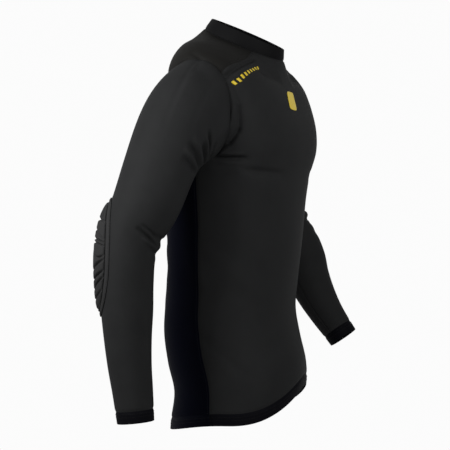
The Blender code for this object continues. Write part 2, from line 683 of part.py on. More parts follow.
def pad_border(name, material):
    """The tape round the pad."""
    p = np.linspace(-1, 1, PAD_COLUMNS + 1)
    q = pad_rows()
    square = np.concatenate([
        np.stack([p, np.full_like(p, -1.0)], axis=1)[:-1],
        np.stack([np.full_like(q, 1.0), q], axis=1)[:-1],
        np.stack([p[::-1], np.full_like(p, 1.0)], axis=1)[:-1],
        np.stack([np.full_like(q, -1.0), q[::-1]], axis=1)[:-1],
    ])
    across = square[:, 0] * np.sqrt(1 - square[:, 1] ** 2 / 2) * PAD_HALF_WIDTH
    along = square[:, 1] * np.sqrt(1 - square[:, 0] ** 2 / 2) * PAD_HALF_LENGTH
    away = unit(np.stack([across / PAD_HALF_WIDTH**2, along / PAD_HALF_LENGTH**2], axis=1))
    steps = np.linspace(SEAM_GAP, BORDER_WIDTH, 3)[None, :]
    turns, down = pad_place(
        name,
        across[:, None] + away[:, 0:1] * steps,
        along[:, None] + away[:, 1:2] * steps,
    )
    points, outward = sleeve(name, turns, down)
    inner = points + outward * PAD_CLEARANCE
    outer = inner + outward * BORDER_THICK
    return closed_cloth(f"pad_border_{name}", outer, inner, material, ring=True)


def main():
    clear_scene()
    front_cloth = cloth_material("front_knit", FRONT_BLACK, 0.55)
    back_cloth = cloth_material("back_knit", BACK_BLACK, 0.60)
    yoke_cloth = cloth_material("yoke_knit", YOKE_BLACK, 0.55)
    pad_cloth = cloth_material("pad_knit", PAD_BLACK, 0.65)
    front_panel(front_cloth)
    back_panel(back_cloth)
    yoke_panel(yoke_cloth)
    collar(yoke_cloth)
    hem_band("hem_front", front_cloth, back=False)
    hem_band("hem_back", back_cloth, back=True)
    for name in SLEEVE_SECTIONS:
        sleeve_tube(name, front_cloth)
        cuff(name, front_cloth)
        elbow_pad(name, pad_cloth)
        pad_border(name, pad_cloth)


main()
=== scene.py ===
"""A padded long-sleeved compression shirt: its finished cloth, pads and sewing, over its frame.

The wearer faces -Y, the right sleeve is on -X, and +Z is up. Sizes are in metres, angles in degrees.
The file is laid out as an add-on. Its settings hold the sizes and colours, and each piece or group
of like pieces has its own operator.
"""
import math

import bpy
import numpy as np
from bpy.props import FloatProperty, FloatVectorProperty, PointerProperty
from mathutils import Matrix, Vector
from mathutils.kdtree import KDTree


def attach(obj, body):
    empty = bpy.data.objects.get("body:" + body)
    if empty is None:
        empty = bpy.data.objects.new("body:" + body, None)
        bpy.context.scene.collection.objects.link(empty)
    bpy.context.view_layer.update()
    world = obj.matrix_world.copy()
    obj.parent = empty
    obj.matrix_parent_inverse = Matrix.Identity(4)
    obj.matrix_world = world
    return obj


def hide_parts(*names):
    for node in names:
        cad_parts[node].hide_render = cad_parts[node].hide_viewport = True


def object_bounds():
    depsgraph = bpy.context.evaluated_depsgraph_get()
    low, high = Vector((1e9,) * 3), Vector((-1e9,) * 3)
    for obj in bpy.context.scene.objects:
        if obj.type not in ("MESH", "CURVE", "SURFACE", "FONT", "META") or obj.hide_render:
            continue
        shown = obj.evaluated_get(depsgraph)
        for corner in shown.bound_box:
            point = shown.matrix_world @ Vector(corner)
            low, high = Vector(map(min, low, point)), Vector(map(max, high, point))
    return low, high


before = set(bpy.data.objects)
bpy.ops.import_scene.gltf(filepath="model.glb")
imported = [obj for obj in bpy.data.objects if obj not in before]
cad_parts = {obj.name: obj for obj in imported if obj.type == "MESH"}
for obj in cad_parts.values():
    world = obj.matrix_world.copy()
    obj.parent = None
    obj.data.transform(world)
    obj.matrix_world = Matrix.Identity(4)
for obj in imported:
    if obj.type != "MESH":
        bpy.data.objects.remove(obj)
CAD_LOW, CAD_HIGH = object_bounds()

bl_info = {
    "name": "Padded compression shirt",
    "version": (1, 0, 0),
    "blender": (4, 5, 0),
    "location": "3D View > Sidebar > Shirt",
    "description": "Builds the cloth, elbow pads and sewing of a padded compression shirt",
    "category": "Object",
}

BODY = "root"
FULL_TURN = 2 * math.pi

# Torso, from the hem's lower edge up to the neck seam.
# Sweep keeps a section level at the sides and turns it up or down only near its front and back.
# Columns: half_width, front_y, back_y, middle_y, front_z, side_z, back_z, squareness, turn, sweep
TORSO_SECTIONS = (
    (0.17, -0.1, 0.134, 0.015, -0.611, -0.667, -0.687, 2.2, 12.0, 1.5),
    (0.169, -0.101, 0.132, 0.015, -0.591, -0.647, -0.667, 2.2, 11.5, 1.5),
    (0.167, -0.098, 0.126, 0.016, -0.562, -0.6, -0.622, 2.2, 10.5, 1.2),
    (0.164, -0.087, 0.137, 0.024, -0.52, -0.548, -0.572, 2.2, 9.0, 0.6),
    (0.16, -0.079, 0.144, 0.029, -0.475, -0.495, -0.515, 2.2, 8.0, 0.2),
    (0.157, -0.082, 0.139, 0.026, -0.43, -0.44, -0.45, 2.2, 6.5, 0.0),
    (0.157, -0.087, 0.1375, 0.023, -0.38, -0.385, -0.39, 2.2, 5.0, 0.0),
    (0.16, -0.091, 0.136, 0.02, -0.33, -0.33, -0.33, 2.25, 4.0, 0.0),
    (0.166, -0.093, 0.133, 0.017, -0.285, -0.28, -0.275, 2.3, 2.5, 0.0),
    (0.172, -0.097, 0.13, 0.014, -0.245, -0.235, -0.23, 2.4, 1.2, 0.0),
    (0.179, -0.106, 0.127, 0.012, -0.205, -0.195, -0.19, 2.5, 0.3, 0.0),
    (0.186, -0.105, 0.125, 0.013, -0.17, -0.155, -0.15, 2.5, 0.0, 0.0),
    (0.193, -0.096, 0.121, 0.016, -0.138, -0.108, -0.112, 2.45, 0.0, 0.0),
    (0.19, -0.084, 0.115, 0.022, -0.111, -0.056, -0.074, 2.35, 0.0, 0.0),
    (0.155, -0.074, 0.106, 0.02, -0.09, -0.032, -0.036, 2.2, 0.0, 0.0),
    (0.108, -0.066, 0.092, 0.012, -0.069, -0.023, -0.008, 2.0, 0.0, 0.0),
    (0.063, -0.063, 0.0766, 0.0066, -0.047, -0.02, 0.0144, 2.0, 0.0, 0.0),
)
HEM_EDGE = 0.0
HEM_SEAM = 1.0
NECK = float(len(TORSO_SECTIONS) - 1)
SIDE_SEAM = 104.0
FRONT_MIDDLE_ROWS = (HEM_SEAM, 8.8, 12.2, NECK)
BACK_UNDERARM_SHARE = 0.62

# Collar, from the neck seam to its top edge.
# Columns: half_width, half_depth, middle_y, front_z, side_z, back_z
COLLAR_SECTIONS = (
    (0.063, 0.0698, 0.0068, -0.047, -0.02, 0.0144),
    (0.0602, 0.0668, 0.0034, -0.037, -0.0087, 0.0224),
    (0.057, 0.064, 0.0, -0.0271, 0.0025, 0.0302),
)
COLLAR_MIDDLE_Y = 0.004

# Armhole, an oval seen from the side, counted in degrees from its front over the top.
# Its place on the torso is worked out from a first guess by small steps.
ARMHOLE_Y = 0.026
ARMHOLE_Z = -0.140
ARMHOLE_HALF_DEPTH = 0.058
ARMHOLE_HALF_HEIGHT = 0.083
ARMHOLE_SQUARENESS = 2.2
UNDERARM = -104.0
GUESS_ANGLE = 92.0
GUESS_HEIGHTS = (-0.235, -0.195, -0.155, -0.108, -0.060)
GUESS_ROWS = (9, 10, 11, 12, 13)

# Yoke: where its seams meet the armhole and the neck, and how its front seam bows
YOKE_FRONT = 42.0
YOKE_BACK = 132.0
YOKE_NECK_FRONT = 62.0
YOKE_NECK_SIDE = 118.0
YOKE_BACK_SEAM = 12.85
YOKE_SEAM_BOW = 11.0
YOKE_BACK_SHARE = 0.6

# Sleeves below the shoulder, for a sleeve on +X; the right one is mirrored.
# Columns: x, y, z, half_depth, half_width
SLEEVE_SECTIONS = {
    "right": (
        (0.245, 0.07, -0.244, 0.06, 0.055),
        (0.268, 0.0836, -0.3014, 0.056, 0.053),
        (0.28, 0.0985, -0.3374, 0.051, 0.051),
        (0.289, 0.106, -0.38, 0.046, 0.049),
        (0.293, 0.106, -0.425, 0.0435, 0.048),
        (0.296, 0.1036, -0.47, 0.042, 0.045),
        (0.297, 0.1018, -0.515, 0.0385, 0.041),
        (0.297, 0.0985, -0.56, 0.0355, 0.037),
        (0.297, 0.0935, -0.6, 0.033, 0.034),
        (0.296, 0.0885, -0.651, 0.03, 0.0315),
    ),
    "left": (
        (0.25, 0.048, -0.232, 0.058, 0.055),
        (0.262, 0.052, -0.268, 0.055, 0.053),
        (0.27, 0.047, -0.302, 0.052, 0.051),
        (0.274, 0.026, -0.335, 0.051, 0.05),
        (0.276, 0.006, -0.367, 0.049, 0.0485),
        (0.278, -0.01, -0.397, 0.0455, 0.046),
        (0.28, -0.022, -0.43, 0.0405, 0.043),
        (0.282, -0.039, -0.466, 0.0355, 0.0385),
        (0.284, -0.057, -0.497, 0.0315, 0.034),
        (0.285, -0.078, -0.527, 0.0285, 0.031),
        (0.286, -0.09, -0.544, 0.0275, 0.03),
    ),
}
SIDE = {"right": -1.0, "left": 1.0}
SHOULDER_ROUNDNESS = 1.20
SHOULDER_BACK = 0.9
TOP_LEAN = 0.4
UNDER_LEAN = 1.2
SHOULDER_LENGTH = 0.10
SLEEVE_RADIUS = 0.048
INSEAM_START = 0.004

# Hem and cuff bands, with their two rows of stitches as shares of the depth
BAND_DEPTH = 0.020
BAND_STITCHES = (0.80, 0.55)

# Elbow pad, measured on the sleeve: across it and down it
PAD_AT = {"right": 0.163, "left": 0.130}
PAD_ANGLE = 160.0
PAD_SLEEVE_RADIUS = 0.047
PAD_HALF_WIDTH = 0.038
PAD_HALF_LENGTH = 0.077
PAD_EDGE = 0.0022
PAD_LIFT = 0.0004
BORDER_WIDTH = 0.0085
PAD_GAP = 0.0003

# The tape's raised middle, the dents beside its edges, and its two rows of stitches
TAPE_RIDGE = 0.00035
TAPE_RIDGE_WIDTH = 0.0016
TAPE_DENT = 0.0005
TAPE_DENT_AT = 0.0015
TAPE_DENT_WIDTH = 0.0006
TAPE_STITCHES = (0.0018, BORDER_WIDTH - 0.0016)
TAPE_STITCH_DEPTH = 0.0004

# Quilting of the pad: lines that run from its middle to both sides, as chevrons.
# Columns: place down the pad at its middle, half way out, at its side, share pressed away, half_width
PAD_QUILT = (
    (-0.72, -0.69, -0.62, 0.78, 0.0016),
    (-0.56, -0.47, -0.33, 0.55, 0.0014),
    (-0.4, -0.36, -0.3, 0.82, 0.0011),
    (-0.34, -0.3, -0.24, 0.82, 0.0011),
    (-0.26, -0.07, -0.1, 0.78, 0.0016),
    (0.17, 0.07, -0.02, 0.86, 0.002),
    (0.36, 0.28, 0.17, 0.86, 0.002),
    (0.56, 0.45, 0.29, 0.86, 0.002),
    (0.76, 0.66, 0.5, 0.86, 0.002),
    (0.96, 0.86, 0.7, 0.8, 0.0018),
)
LEAF_LINES = (0.58, 0.80)
LEAF_BELOW = -0.70
LEAF_FADE = 0.06
LEAF_SLOPE = 0.6
LEAF_PRESSED = 0.7
LEAF_HALF_WIDTH = 0.0013

# Folds in the cloth, seen as soft ridges and troughs. Each runs straight from its start to its end.
# Columns: start x, y, z, end x, y, z, half_width, height
TORSO_FOLDS = (
    (-0.166, -0.047, -0.112, -0.166, -0.036, -0.182, 0.007, -0.002),
    (-0.166, -0.036, -0.182, -0.172, 0.004, -0.214, 0.007, -0.0022),
    (-0.168, 0.01, -0.222, -0.15, -0.055, -0.224, 0.008, -0.003),
    (-0.168, 0.01, -0.238, -0.148, -0.06, -0.24, 0.008, 0.0018),
    (-0.148, -0.062, -0.245, -0.07, -0.098, -0.252, 0.009, -0.0018),
    (-0.16, 0.03, -0.36, -0.12, -0.06, -0.455, 0.014, 0.002),
    (-0.16, 0.065, -0.34, -0.15, 0.02, -0.45, 0.014, 0.0018),
    (-0.15, 0.06, -0.42, -0.12, -0.05, -0.53, 0.016, -0.002),
    (0.166, -0.047, -0.112, 0.166, -0.036, -0.182, 0.007, -0.002),
    (0.166, -0.036, -0.182, 0.172, 0.004, -0.214, 0.007, -0.0022),
    (0.168, 0.01, -0.224, 0.145, -0.06, -0.23, 0.008, -0.0028),
    (0.16, 0.035, -0.35, 0.115, -0.062, -0.44, 0.014, 0.002),
    (0.158, 0.06, -0.41, 0.125, -0.045, -0.52, 0.016, -0.0018),
    (-0.1, 0.118, -0.4, 0.08, 0.128, -0.44, 0.016, -0.0022),
    (-0.07, 0.128, -0.46, 0.11, 0.11, -0.49, 0.016, 0.002),
    (-0.12, 0.07, -0.03, -0.112, 0.02, -0.026, 0.008, -0.0014),
)

# Fold rows on the sleeves, measured on the sleeve.
# Columns: angle round at start, distance down at start, angle at end, distance at end, half_width, height
SLEEVE_FOLDS = {
    "right": (
        (-62.0, -0.085, -40.0, -0.02, 0.006, -0.0024),
        (-74.0, -0.085, -58.0, -0.005, 0.006, -0.0026),
        (-86.0, -0.08, -78.0, 0.005, 0.006, -0.0024),
        (-104.0, -0.08, -100.0, 0.0, 0.007, -0.0022),
        (-68.0, -0.085, -48.0, -0.01, 0.005, 0.0016),
        (-75.0, 0.105, 20.0, 0.112, 0.007, -0.0024),
        (-80.0, 0.122, 30.0, 0.128, 0.007, 0.0018),
        (-70.0, 0.14, 15.0, 0.141, 0.007, -0.0022),
    ),
    "left": (
        (-62.0, -0.085, -40.0, -0.02, 0.006, -0.0024),
        (-80.0, -0.085, -66.0, 0.0, 0.006, -0.0026),
        (-100.0, -0.08, -95.0, 0.0, 0.007, -0.0022),
        (-75.0, 0.092, 40.0, 0.098, 0.008, -0.003),
        (-80.0, 0.11, 45.0, 0.116, 0.008, 0.0022),
        (-75.0, 0.128, 40.0, 0.134, 0.008, -0.003),
        (-60.0, 0.15, 30.0, 0.152, 0.008, -0.002),
    ),
}

# Finer creases over the folds, beside the seams and in the bends. The paired ones lie on both sides.
# Columns: start x, y, z, end x, y, z, half_width, height
PAIRED_CREASES = (
    (-0.18, -0.033, -0.1, -0.173, -0.046, -0.138, 0.004, -0.0022),
    (-0.173, -0.046, -0.136, -0.171, -0.045, -0.178, 0.0044, -0.005),
    (-0.171, -0.045, -0.174, -0.175, -0.027, -0.198, 0.0046, -0.0064),
    (-0.175, -0.028, -0.197, -0.176, 0.001, -0.213, 0.004, -0.0062),
    (-0.179, -0.036, -0.14, -0.178, -0.03, -0.17, 0.0034, 0.0022),
    (-0.178, -0.031, -0.166, -0.176, -0.008, -0.202, 0.0032, 0.0034),
    (-0.098, -0.053, -0.068, -0.035, -0.064, -0.08, 0.012, -0.0065),
    (-0.185, -0.027, -0.087, -0.135, -0.035, -0.066, 0.005, -0.0075),
    (-0.138, -0.035, -0.067, -0.078, -0.037, -0.051, 0.0048, -0.0064),
    (-0.176, -0.001, -0.2205, -0.156, -0.05, -0.221, 0.0038, -0.0056),
    (-0.172, -0.01, -0.213, -0.158, -0.046, -0.214, 0.0034, 0.0016),
    (-0.17, -0.012, -0.229, -0.158, -0.046, -0.23, 0.004, 0.0014),
    (-0.156, -0.046, -0.24, -0.081, -0.089, -0.245, 0.0066, -0.0046),
    (-0.184, 0.036, -0.045, -0.191, 0.012, -0.06, 0.004, -0.0032),
    (-0.17, 0.07, -0.172, -0.148, 0.106, -0.156, 0.0045, -0.0029),
)
SINGLE_CREASES = (
    (-0.15, 0.05, -0.5, -0.14, -0.045, -0.585, 0.008, -0.0022),
    (-0.09, 0.12, -0.36, 0.02, 0.134, -0.372, 0.008, -0.0022),
    (0.02, 0.13, -0.52, 0.12, 0.09, -0.54, 0.009, -0.0022),
)
TORSO_CREASES = SINGLE_CREASES + PAIRED_CREASES + tuple(
    (-x, y, z, -end_x, *rest) for x, y, z, end_x, *rest in PAIRED_CREASES
)

# Finer creases on the sleeves, at the shoulder on both and in the bend of each elbow.
# Columns: angle round at start, distance down at start, angle at end, distance at end, half_width, height
SHOULDER_CREASES = (
    (2.0, -0.054, -36.0, -0.048, 0.0031, -0.007),
    (2.0, -0.0365, -38.0, -0.0325, 0.0029, -0.0066),
    (30.0, -0.0215, -18.0, -0.0175, 0.0029, -0.0062),
    (32.0, -0.0095, -6.0, -0.007, 0.0027, -0.0052),
    (4.0, -0.045, -36.0, -0.0405, 0.0031, 0.0042),
    (24.0, -0.029, -24.0, -0.0255, 0.0029, 0.004),
    (34.0, -0.0155, -12.0, -0.0125, 0.0027, 0.0034),
    (-26.0, -0.068, -48.0, -0.06, 0.003, -0.0044),
    (45.0, -0.088, 150.0, -0.088, 0.011, -0.005),
)
ELBOW_CREASES = {
    "right": (
        (56.0, 0.109, 4.0, 0.128, 0.0034, -0.005),
        (50.0, 0.1, 12.0, 0.112, 0.003, -0.003),
        (40.0, 0.123, -8.0, 0.137, 0.0032, 0.0026),
    ),
    "left": (
        (50.0, 0.086, 2.0, 0.098, 0.0032, -0.0048),
        (42.0, 0.104, -12.0, 0.112, 0.0032, -0.0046),
        (54.0, 0.121, 6.0, 0.127, 0.0032, -0.0042),
        (32.0, 0.095, -14.0, 0.104, 0.003, 0.003),
    ),
}

# A crease reaches only the wall of the shirt that it lies on
WALL_REACH = 0.020

# Share of its length over which a fold or crease fades out at each end
FOLD_FADE = 0.25

# Distance below the armhole over which the folds of a sleeve come in
SHOULDER_FADE = 0.02

# Rough sizes of the pieces, from which their grids are laid out
SIDE_LENGTH = 0.40
FRONT_WIDTH = 0.52
FRONT_YOKE_SEAM = 0.10
BACK_WIDTH = 0.36
YOKE_AROUND = 0.62
YOKE_DEPTH = 0.11
SHOULDER_REACH = 0.12
COLLAR_HEIGHT = 0.033

# Beside a seam, a piece's outward directions turn to those of the cloth that it is sewn to within
# about SEAM_TURN. Its inner side laps under the other piece by SEAM_LAP, so no light comes through.
SEAM_TURN = 0.0035
SEAM_LAP = 0.0004

# How finely the cloth is drawn. Sewn edges have rows at these distances from the edge.
EDGE_ROWS = (0.0, 0.0004, 0.0009, 0.0015, 0.0023, 0.0034, 0.0050, 0.0072)
CLOTH_STEP = 0.0030
SLEEVE_STEP = 0.0021
AROUND_STEP = 0.0023
PAD_STEP = 0.0009
BAND_STEP = 0.003
COLLAR_STEP = 0.004
ARMHOLE_STEP = 1.9
COLLAR_PLACES = 181
TORSO_PLACES = 361
SLEEVE_PLACES = 241
SEAM_PLACES = 161
TAPE_PLACES = 13

# Share of a thread's thickness that stands clear of the cloth
THREAD_SHOWN = 0.2

# Plain marks on the front, as torso angle in degrees and row: a row of short bars and one tab
BARS_LINE = ((-61.5, 12.40), (-55.0, 12.66), (-48.9, 13.14), (-43.5, 13.85), (-38.7, 14.62))
BARS = 10
BARS_PLACES = 200
BAR_SHARE = 0.50
BAR_HEIGHT = 0.0075
TAB_MIDDLE = (-6.5, 12.72)
TAB_HALF_ANGLE = 5.0
TAB_HALF_ROWS = 0.66
TAB_LEAN = -3.5
BAR_GRID = (4, 7)
TAB_GRID = (15, 23)
TAB_ROUNDING = (0.35, 0.10)
PRINT_LIFT = 0.00015
PRINT_THICK = 0.00025

# Finish of the cloth. A course of the knit is COURSE_SHARE of a wale wide.
CLOTH_GLOSS = 0.008
BACK_GLOSS = 0.005
PAD_ROUGHNESS = 0.65
COURSE_SHARE = 0.8
WAVE_LENGTH = math.pi / 10

# Lights: name, place, size in metres, power in watts
LIGHTS = (
    ("key", (-0.95, 0.56, 0.12), 0.5, 43),
    ("fill", (-0.56, -0.95, 0.20), 0.4, 21),
    ("back", (0.60, 1.70, 1.10), 1.4, 8),
)

# White backdrop and round floor
BACKDROP_LIGHT = 0.97
FLOOR_SIDES = 96
FLOOR_RIM = 0.35

# The photograph's camera
CAMERA_AZIMUTH = -70.0
CAMERA_DISTANCE = 3.2
CAMERA_FOCAL = 146.29
CAMERA_SIDE = -0.04025
CAMERA_HEIGHT = -0.3325


# Settings

class ShirtCloth(bpy.types.PropertyGroup):
    thickness: FloatProperty(
        name="Cloth", description="Thickness of the body and sleeve cloth", default=0.0016, unit="LENGTH")
    band_thickness: FloatProperty(
        name="Bands", description="Thickness of the hem and cuff bands", default=0.0022, unit="LENGTH")
    collar_thickness: FloatProperty(
        name="Collar", description="Thickness of the collar", default=0.0024, unit="LENGTH")
    seam_gap: FloatProperty(
        name="Seam gap", description="Gap between two pieces at a seam", default=0.00004, unit="LENGTH")
    seam_dip: FloatProperty(
        name="Seam depth", description="How far cloth is drawn in at a seam",
        default=0.0011, unit="LENGTH")
    seam_reach: FloatProperty(
        name="Seam reach", description="How far from a seam the cloth is drawn in",
        default=0.0030, unit="LENGTH")
    wale: FloatProperty(
        name="Knit", description="Width of one wale of the knit", default=0.0007, unit="LENGTH")
    front_colour: FloatVectorProperty(
        name="Front", description="Colour of the front and the sleeves", subtype="COLOR", size=3,
        default=(0.0050, 0.0051, 0.0052))
    back_colour: FloatVectorProperty(
        name="Back", description="Colour of the back", subtype="COLOR", size=3,
        default=(0.0004, 0.0005, 0.0014))
    yoke_colour: FloatVectorProperty(
        name="Yoke", description="Colour of the yoke", subtype="COLOR", size=3,
        default=(0.0034, 0.0033, 0.0031))
    collar_colour: FloatVectorProperty(
        name="Collar", description="Colour of the collar", subtype="COLOR", size=3,
        default=(0.0018, 0.0018, 0.0019))
    band_colour: FloatVectorProperty(
        name="Bands", description="Colour of the hem and cuff bands", subtype="COLOR", size=3,
        default=(0.0010, 0.0010, 0.0014))


class ShirtPads(bpy.types.PropertyGroup):
    thickness: FloatProperty(
        name="Foam", description="Full thickness of the elbow pads", default=0.0085, unit="LENGTH")
    border_thickness: FloatProperty(
        name="Tape", description="Thickness of the tape round a pad", default=0.0018, unit="LENGTH")
    colour: FloatVectorProperty(
        name="Pad", description="Colour of the quilted pads", subtype="COLOR", size=3,
        default=(0.0074, 0.0074, 0.0075))


class ShirtSewing(bpy.types.PropertyGroup):
    stitch: FloatProperty(
        name="Stitch", description="Length of one stitch", default=0.0020, unit="LENGTH")
    pitch: FloatProperty(
        name="Pitch", description="Distance from one stitch to the next", default=0.0030, unit="LENGTH")
    thread: FloatProperty(
        name="Thread", description="Thickness of the thread", default=0.00045, unit="LENGTH")
    beside: FloatProperty(
        name="Beside", description="Distance from a seam to its stitches", default=0.0030, unit="LENGTH")
    colour: FloatVectorProperty(
        name="Thread", description="Colour of the thread", subtype="COLOR", size=3,
        default=(0.0034, 0.0034, 0.0036))
    mark_colour: FloatVectorProperty(
        name="Marks", description="Colour of the printed marks", subtype="COLOR", size=3,
        default=(0.190, 0.140, 0.004))


class ShirtStage(bpy.types.PropertyGroup):
    floor_drop: FloatProperty(
        name="Floor", description="Distance from the shirt's lowest point down to the floor",
        default=0.60, unit="LENGTH")
    floor_radius: FloatProperty(
        name="Floor radius", description="Radius of the round floor", default=4.0, unit="LENGTH")
    colour: FloatVectorProperty(
        name="Floor", description="Colour of the floor", subtype="COLOR", size=3,
        default=(0.86, 0.86, 0.86))


# Smooth curves and surfaces

def read_sections(sections, knots, at):
    """Values of a table of sections at any place between its rows, on smooth curves."""
    rows = np.asarray(sections, float)
    slopes = np.gradient(rows, knots, axis=0)
    at = np.clip(at, knots[0], knots[-1])
    low = np.clip(np.searchsorted(knots, at, side="right") - 1, 0, len(knots) - 2)
    length = (knots[low + 1] - knots[low])[..., None]
    part = (at - knots[low])[..., None] / length
    start = rows[low] * (2 * part**3 - 3 * part**2 + 1)
    end = rows[low + 1] * (3 * part**2 - 2 * part**3)
    leaving = slopes[low] * length * (part**3 - 2 * part**2 + part)
    arriving = slopes[low + 1] * length * (part**3 - part**2)
    return start + end + leaving + arriving


def unit(vectors):
    """Vectors of length one."""
    return vectors / np.linalg.norm(vectors, axis=-1, keepdims=True)


def smooth_step(value):
    """A soft rise from 0 to 1."""
    value = np.clip(value, 0.0, 1.0)
    return value * value * (3 - 2 * value)


def bell(distance, width):
    """A soft bump, 1 at no distance and near 0 beyond twice its width."""
    return np.exp(-((distance / width) ** 2))


def squircle(angle, squareness):
    """How much further out a squarer oval lies than a plain one, at an angle."""
    total = np.abs(np.sin(angle)) ** squareness + np.abs(np.cos(angle)) ** squareness
    return total ** (-1 / squareness)


def tilted_height(forward, front_z, side_z, back_z, sweep=0.0):
    """Height round a section, where forward is 1 at the front, 0 at the sides and -1 at the back."""
    tilt = (front_z - back_z) / 2
    dip = (front_z + back_z) / 2 - side_z
    return side_z + (tilt * forward + dip * forward**2) * np.abs(forward) ** sweep


def normals_of(surface, first, second, step=1e-4):
    """Directions square to a surface, by small steps along its two coordinates."""
    along_first = surface(first + step, second) - surface(first - step, second)
    along_second = surface(first, second + step) - surface(first, second - step)
    return unit(np.cross(along_first, along_second))


def fold_height(points, folds, outward=None):
    """How far folds lift or sink the cloth, measured along the cloth if outward is given."""
    height = np.zeros(points.shape[:-1])
    for fold in folds:
        start = np.array(fold[0:3])
        run = np.array(fold[3:6]) - start
        half_width, rise = fold[6:8]
        place = ((points - start) @ run) / (run @ run)
        nearest = start + np.clip(place, 0, 1)[..., None] * run
        off = points - nearest
        ends = smooth_step((place + FOLD_FADE) / (2 * FOLD_FADE))
        ends = ends * smooth_step((1 + FOLD_FADE - place) / (2 * FOLD_FADE))
        if outward is not None:
            through = np.sum(off * outward, axis=-1)
            off = off - outward * through[..., None]
            ends = ends * bell(through, WALL_REACH)
        height += rise * ends * bell(np.linalg.norm(off, axis=-1), half_width)
    return height


def at_shared_seam(outward, seam_outward, distance):
    """Outward directions that turn to those of the torso where another piece is sewn onto it."""
    share = bell(distance, SEAM_TURN)[..., None]
    return unit(outward * (1 - share) + seam_outward * share)


# Torso

def plain_torso(angle, row):
    """The torso without folds: angle in radians from the front, row counted up from the hem."""
    angle, row = np.broadcast_arrays(angle, row)
    knots = np.arange(len(TORSO_SECTIONS), dtype=float)
    values = read_sections(TORSO_SECTIONS, knots, row)
    half_width, front_y, back_y, middle_y, front_z, side_z, back_z = np.moveaxis(values[..., :7], -1, 0)
    squareness, turn, sweep = np.moveaxis(values[..., 7:], -1, 0)
    forward = np.cos(angle)
    out = squircle(angle, squareness)
    depth = np.where(forward > 0, front_y - middle_y, middle_y - back_y)
    x = half_width * np.sin(angle) * out
    y = depth * forward * out
    turn = np.radians(turn)
    z = tilted_height(forward, front_z, side_z, back_z, sweep)
    return np.stack([
        x * np.cos(turn) - y * np.sin(turn),
        middle_y + x * np.sin(turn) + y * np.cos(turn),
        z,
    ], axis=-1)


def torso(angle, row):
    """Points of the torso cloth and their outward directions."""
    points = plain_torso(angle, row)
    outward = normals_of(plain_torso, *np.broadcast_arrays(angle, row))
    height = fold_height(points, TORSO_FOLDS) + fold_height(points, TORSO_CREASES, outward)
    return points + outward * height[..., None], outward


def find_on_torso(y, z):
    """The torso angle and row of the point on the left side that has a given y and z."""
    angle = np.full(np.shape(y), math.radians(GUESS_ANGLE))
    row = np.interp(z, GUESS_HEIGHTS, GUESS_ROWS)
    step = 1e-4
    for _ in range(40):
        here = plain_torso(angle, row)[..., 1:3]
        by_angle = (plain_torso(angle + step, row)[..., 1:3] - here) / step
        by_row = (plain_torso(angle, row + step)[..., 1:3] - here) / step
        miss = np.stack([y, z], axis=-1) - here
        area = by_angle[..., 0] * by_row[..., 1] - by_angle[..., 1] * by_row[..., 0]
        move_angle = (miss[..., 0] * by_row[..., 1] - miss[..., 1] * by_row[..., 0]) / area
        move_row = (by_angle[..., 0] * miss[..., 1] - by_angle[..., 1] * miss[..., 0]) / area
        angle = angle + np.clip(move_angle, -0.15, 0.15)
        row = row + np.clip(move_row, -0.5, 0.5)
    return angle, row


def armhole(turn):
    """Torso angle and row of the left armhole seam at an angle in degrees, from its front over its top."""
    turn = np.radians(turn)
    out = squircle(turn, ARMHOLE_SQUARENESS)
    y = ARMHOLE_Y - ARMHOLE_HALF_DEPTH * np.cos(turn) * out
    z = ARMHOLE_Z + ARMHOLE_HALF_HEIGHT * np.sin(turn) * out
    return find_on_torso(y, z)


# Sleeves

def sleeve_knots(name):
    """Distance down the sleeve at each of its sections."""
    centres = np.asarray(SLEEVE_SECTIONS[name])[:, :3]
    steps = np.linalg.norm(np.diff(centres, axis=0), axis=1)
    return np.concatenate([[0.0], np.cumsum(steps)])


def arm_point(name, angle, down):
    """A point of the sleeve below the shoulder: angle in radians, distance down in metres."""
    angle, down = np.broadcast_arrays(angle, down)
    knots = sleeve_knots(name)
    step = 1e-4
    values = read_sections(SLEEVE_SECTIONS[name], knots, down)
    ahead = read_sections(SLEEVE_SECTIONS[name], knots, np.clip(down + step, step, knots[-1]))
    behind = read_sections(SLEEVE_SECTIONS[name], knots, np.clip(down - step, 0, knots[-1] - step))
    along = unit(ahead[..., :3] - behind[..., :3])
    forward = unit(np.array([0.0, -1.0, 0.0]) + along * along[..., 1:2])
    outward = np.cross(forward, along)
    half_depth = values[..., 3:4]
    half_width = values[..., 4:5]
    to_front = forward * np.cos(angle)[..., None] * half_depth
    to_side = outward * np.sin(angle)[..., None] * half_width
    beyond = (down - np.clip(down, 0, knots[-1]))[..., None]
    points = values[..., :3] + (to_front + to_side) + along * beyond
    return points * np.array([SIDE[name], 1.0, 1.0])


def armhole_edge(name, turns):
    """Points of the armhole seam, and the directions that lead from the torso cloth into the hole."""
    side = SIDE[name]
    step = 0.5
    angle, row = armhole(turns)
    angle_after, row_after = armhole(turns + step)
    angle_before, row_before = armhole(turns - step)
    points, outward = torso(side * angle, row)
    seam_way = plain_torso(side * angle_after, row_after) - plain_torso(side * angle_before, row_before)
    into_hole = -side * np.cross(outward, seam_way)
    return points, unit(into_hole)


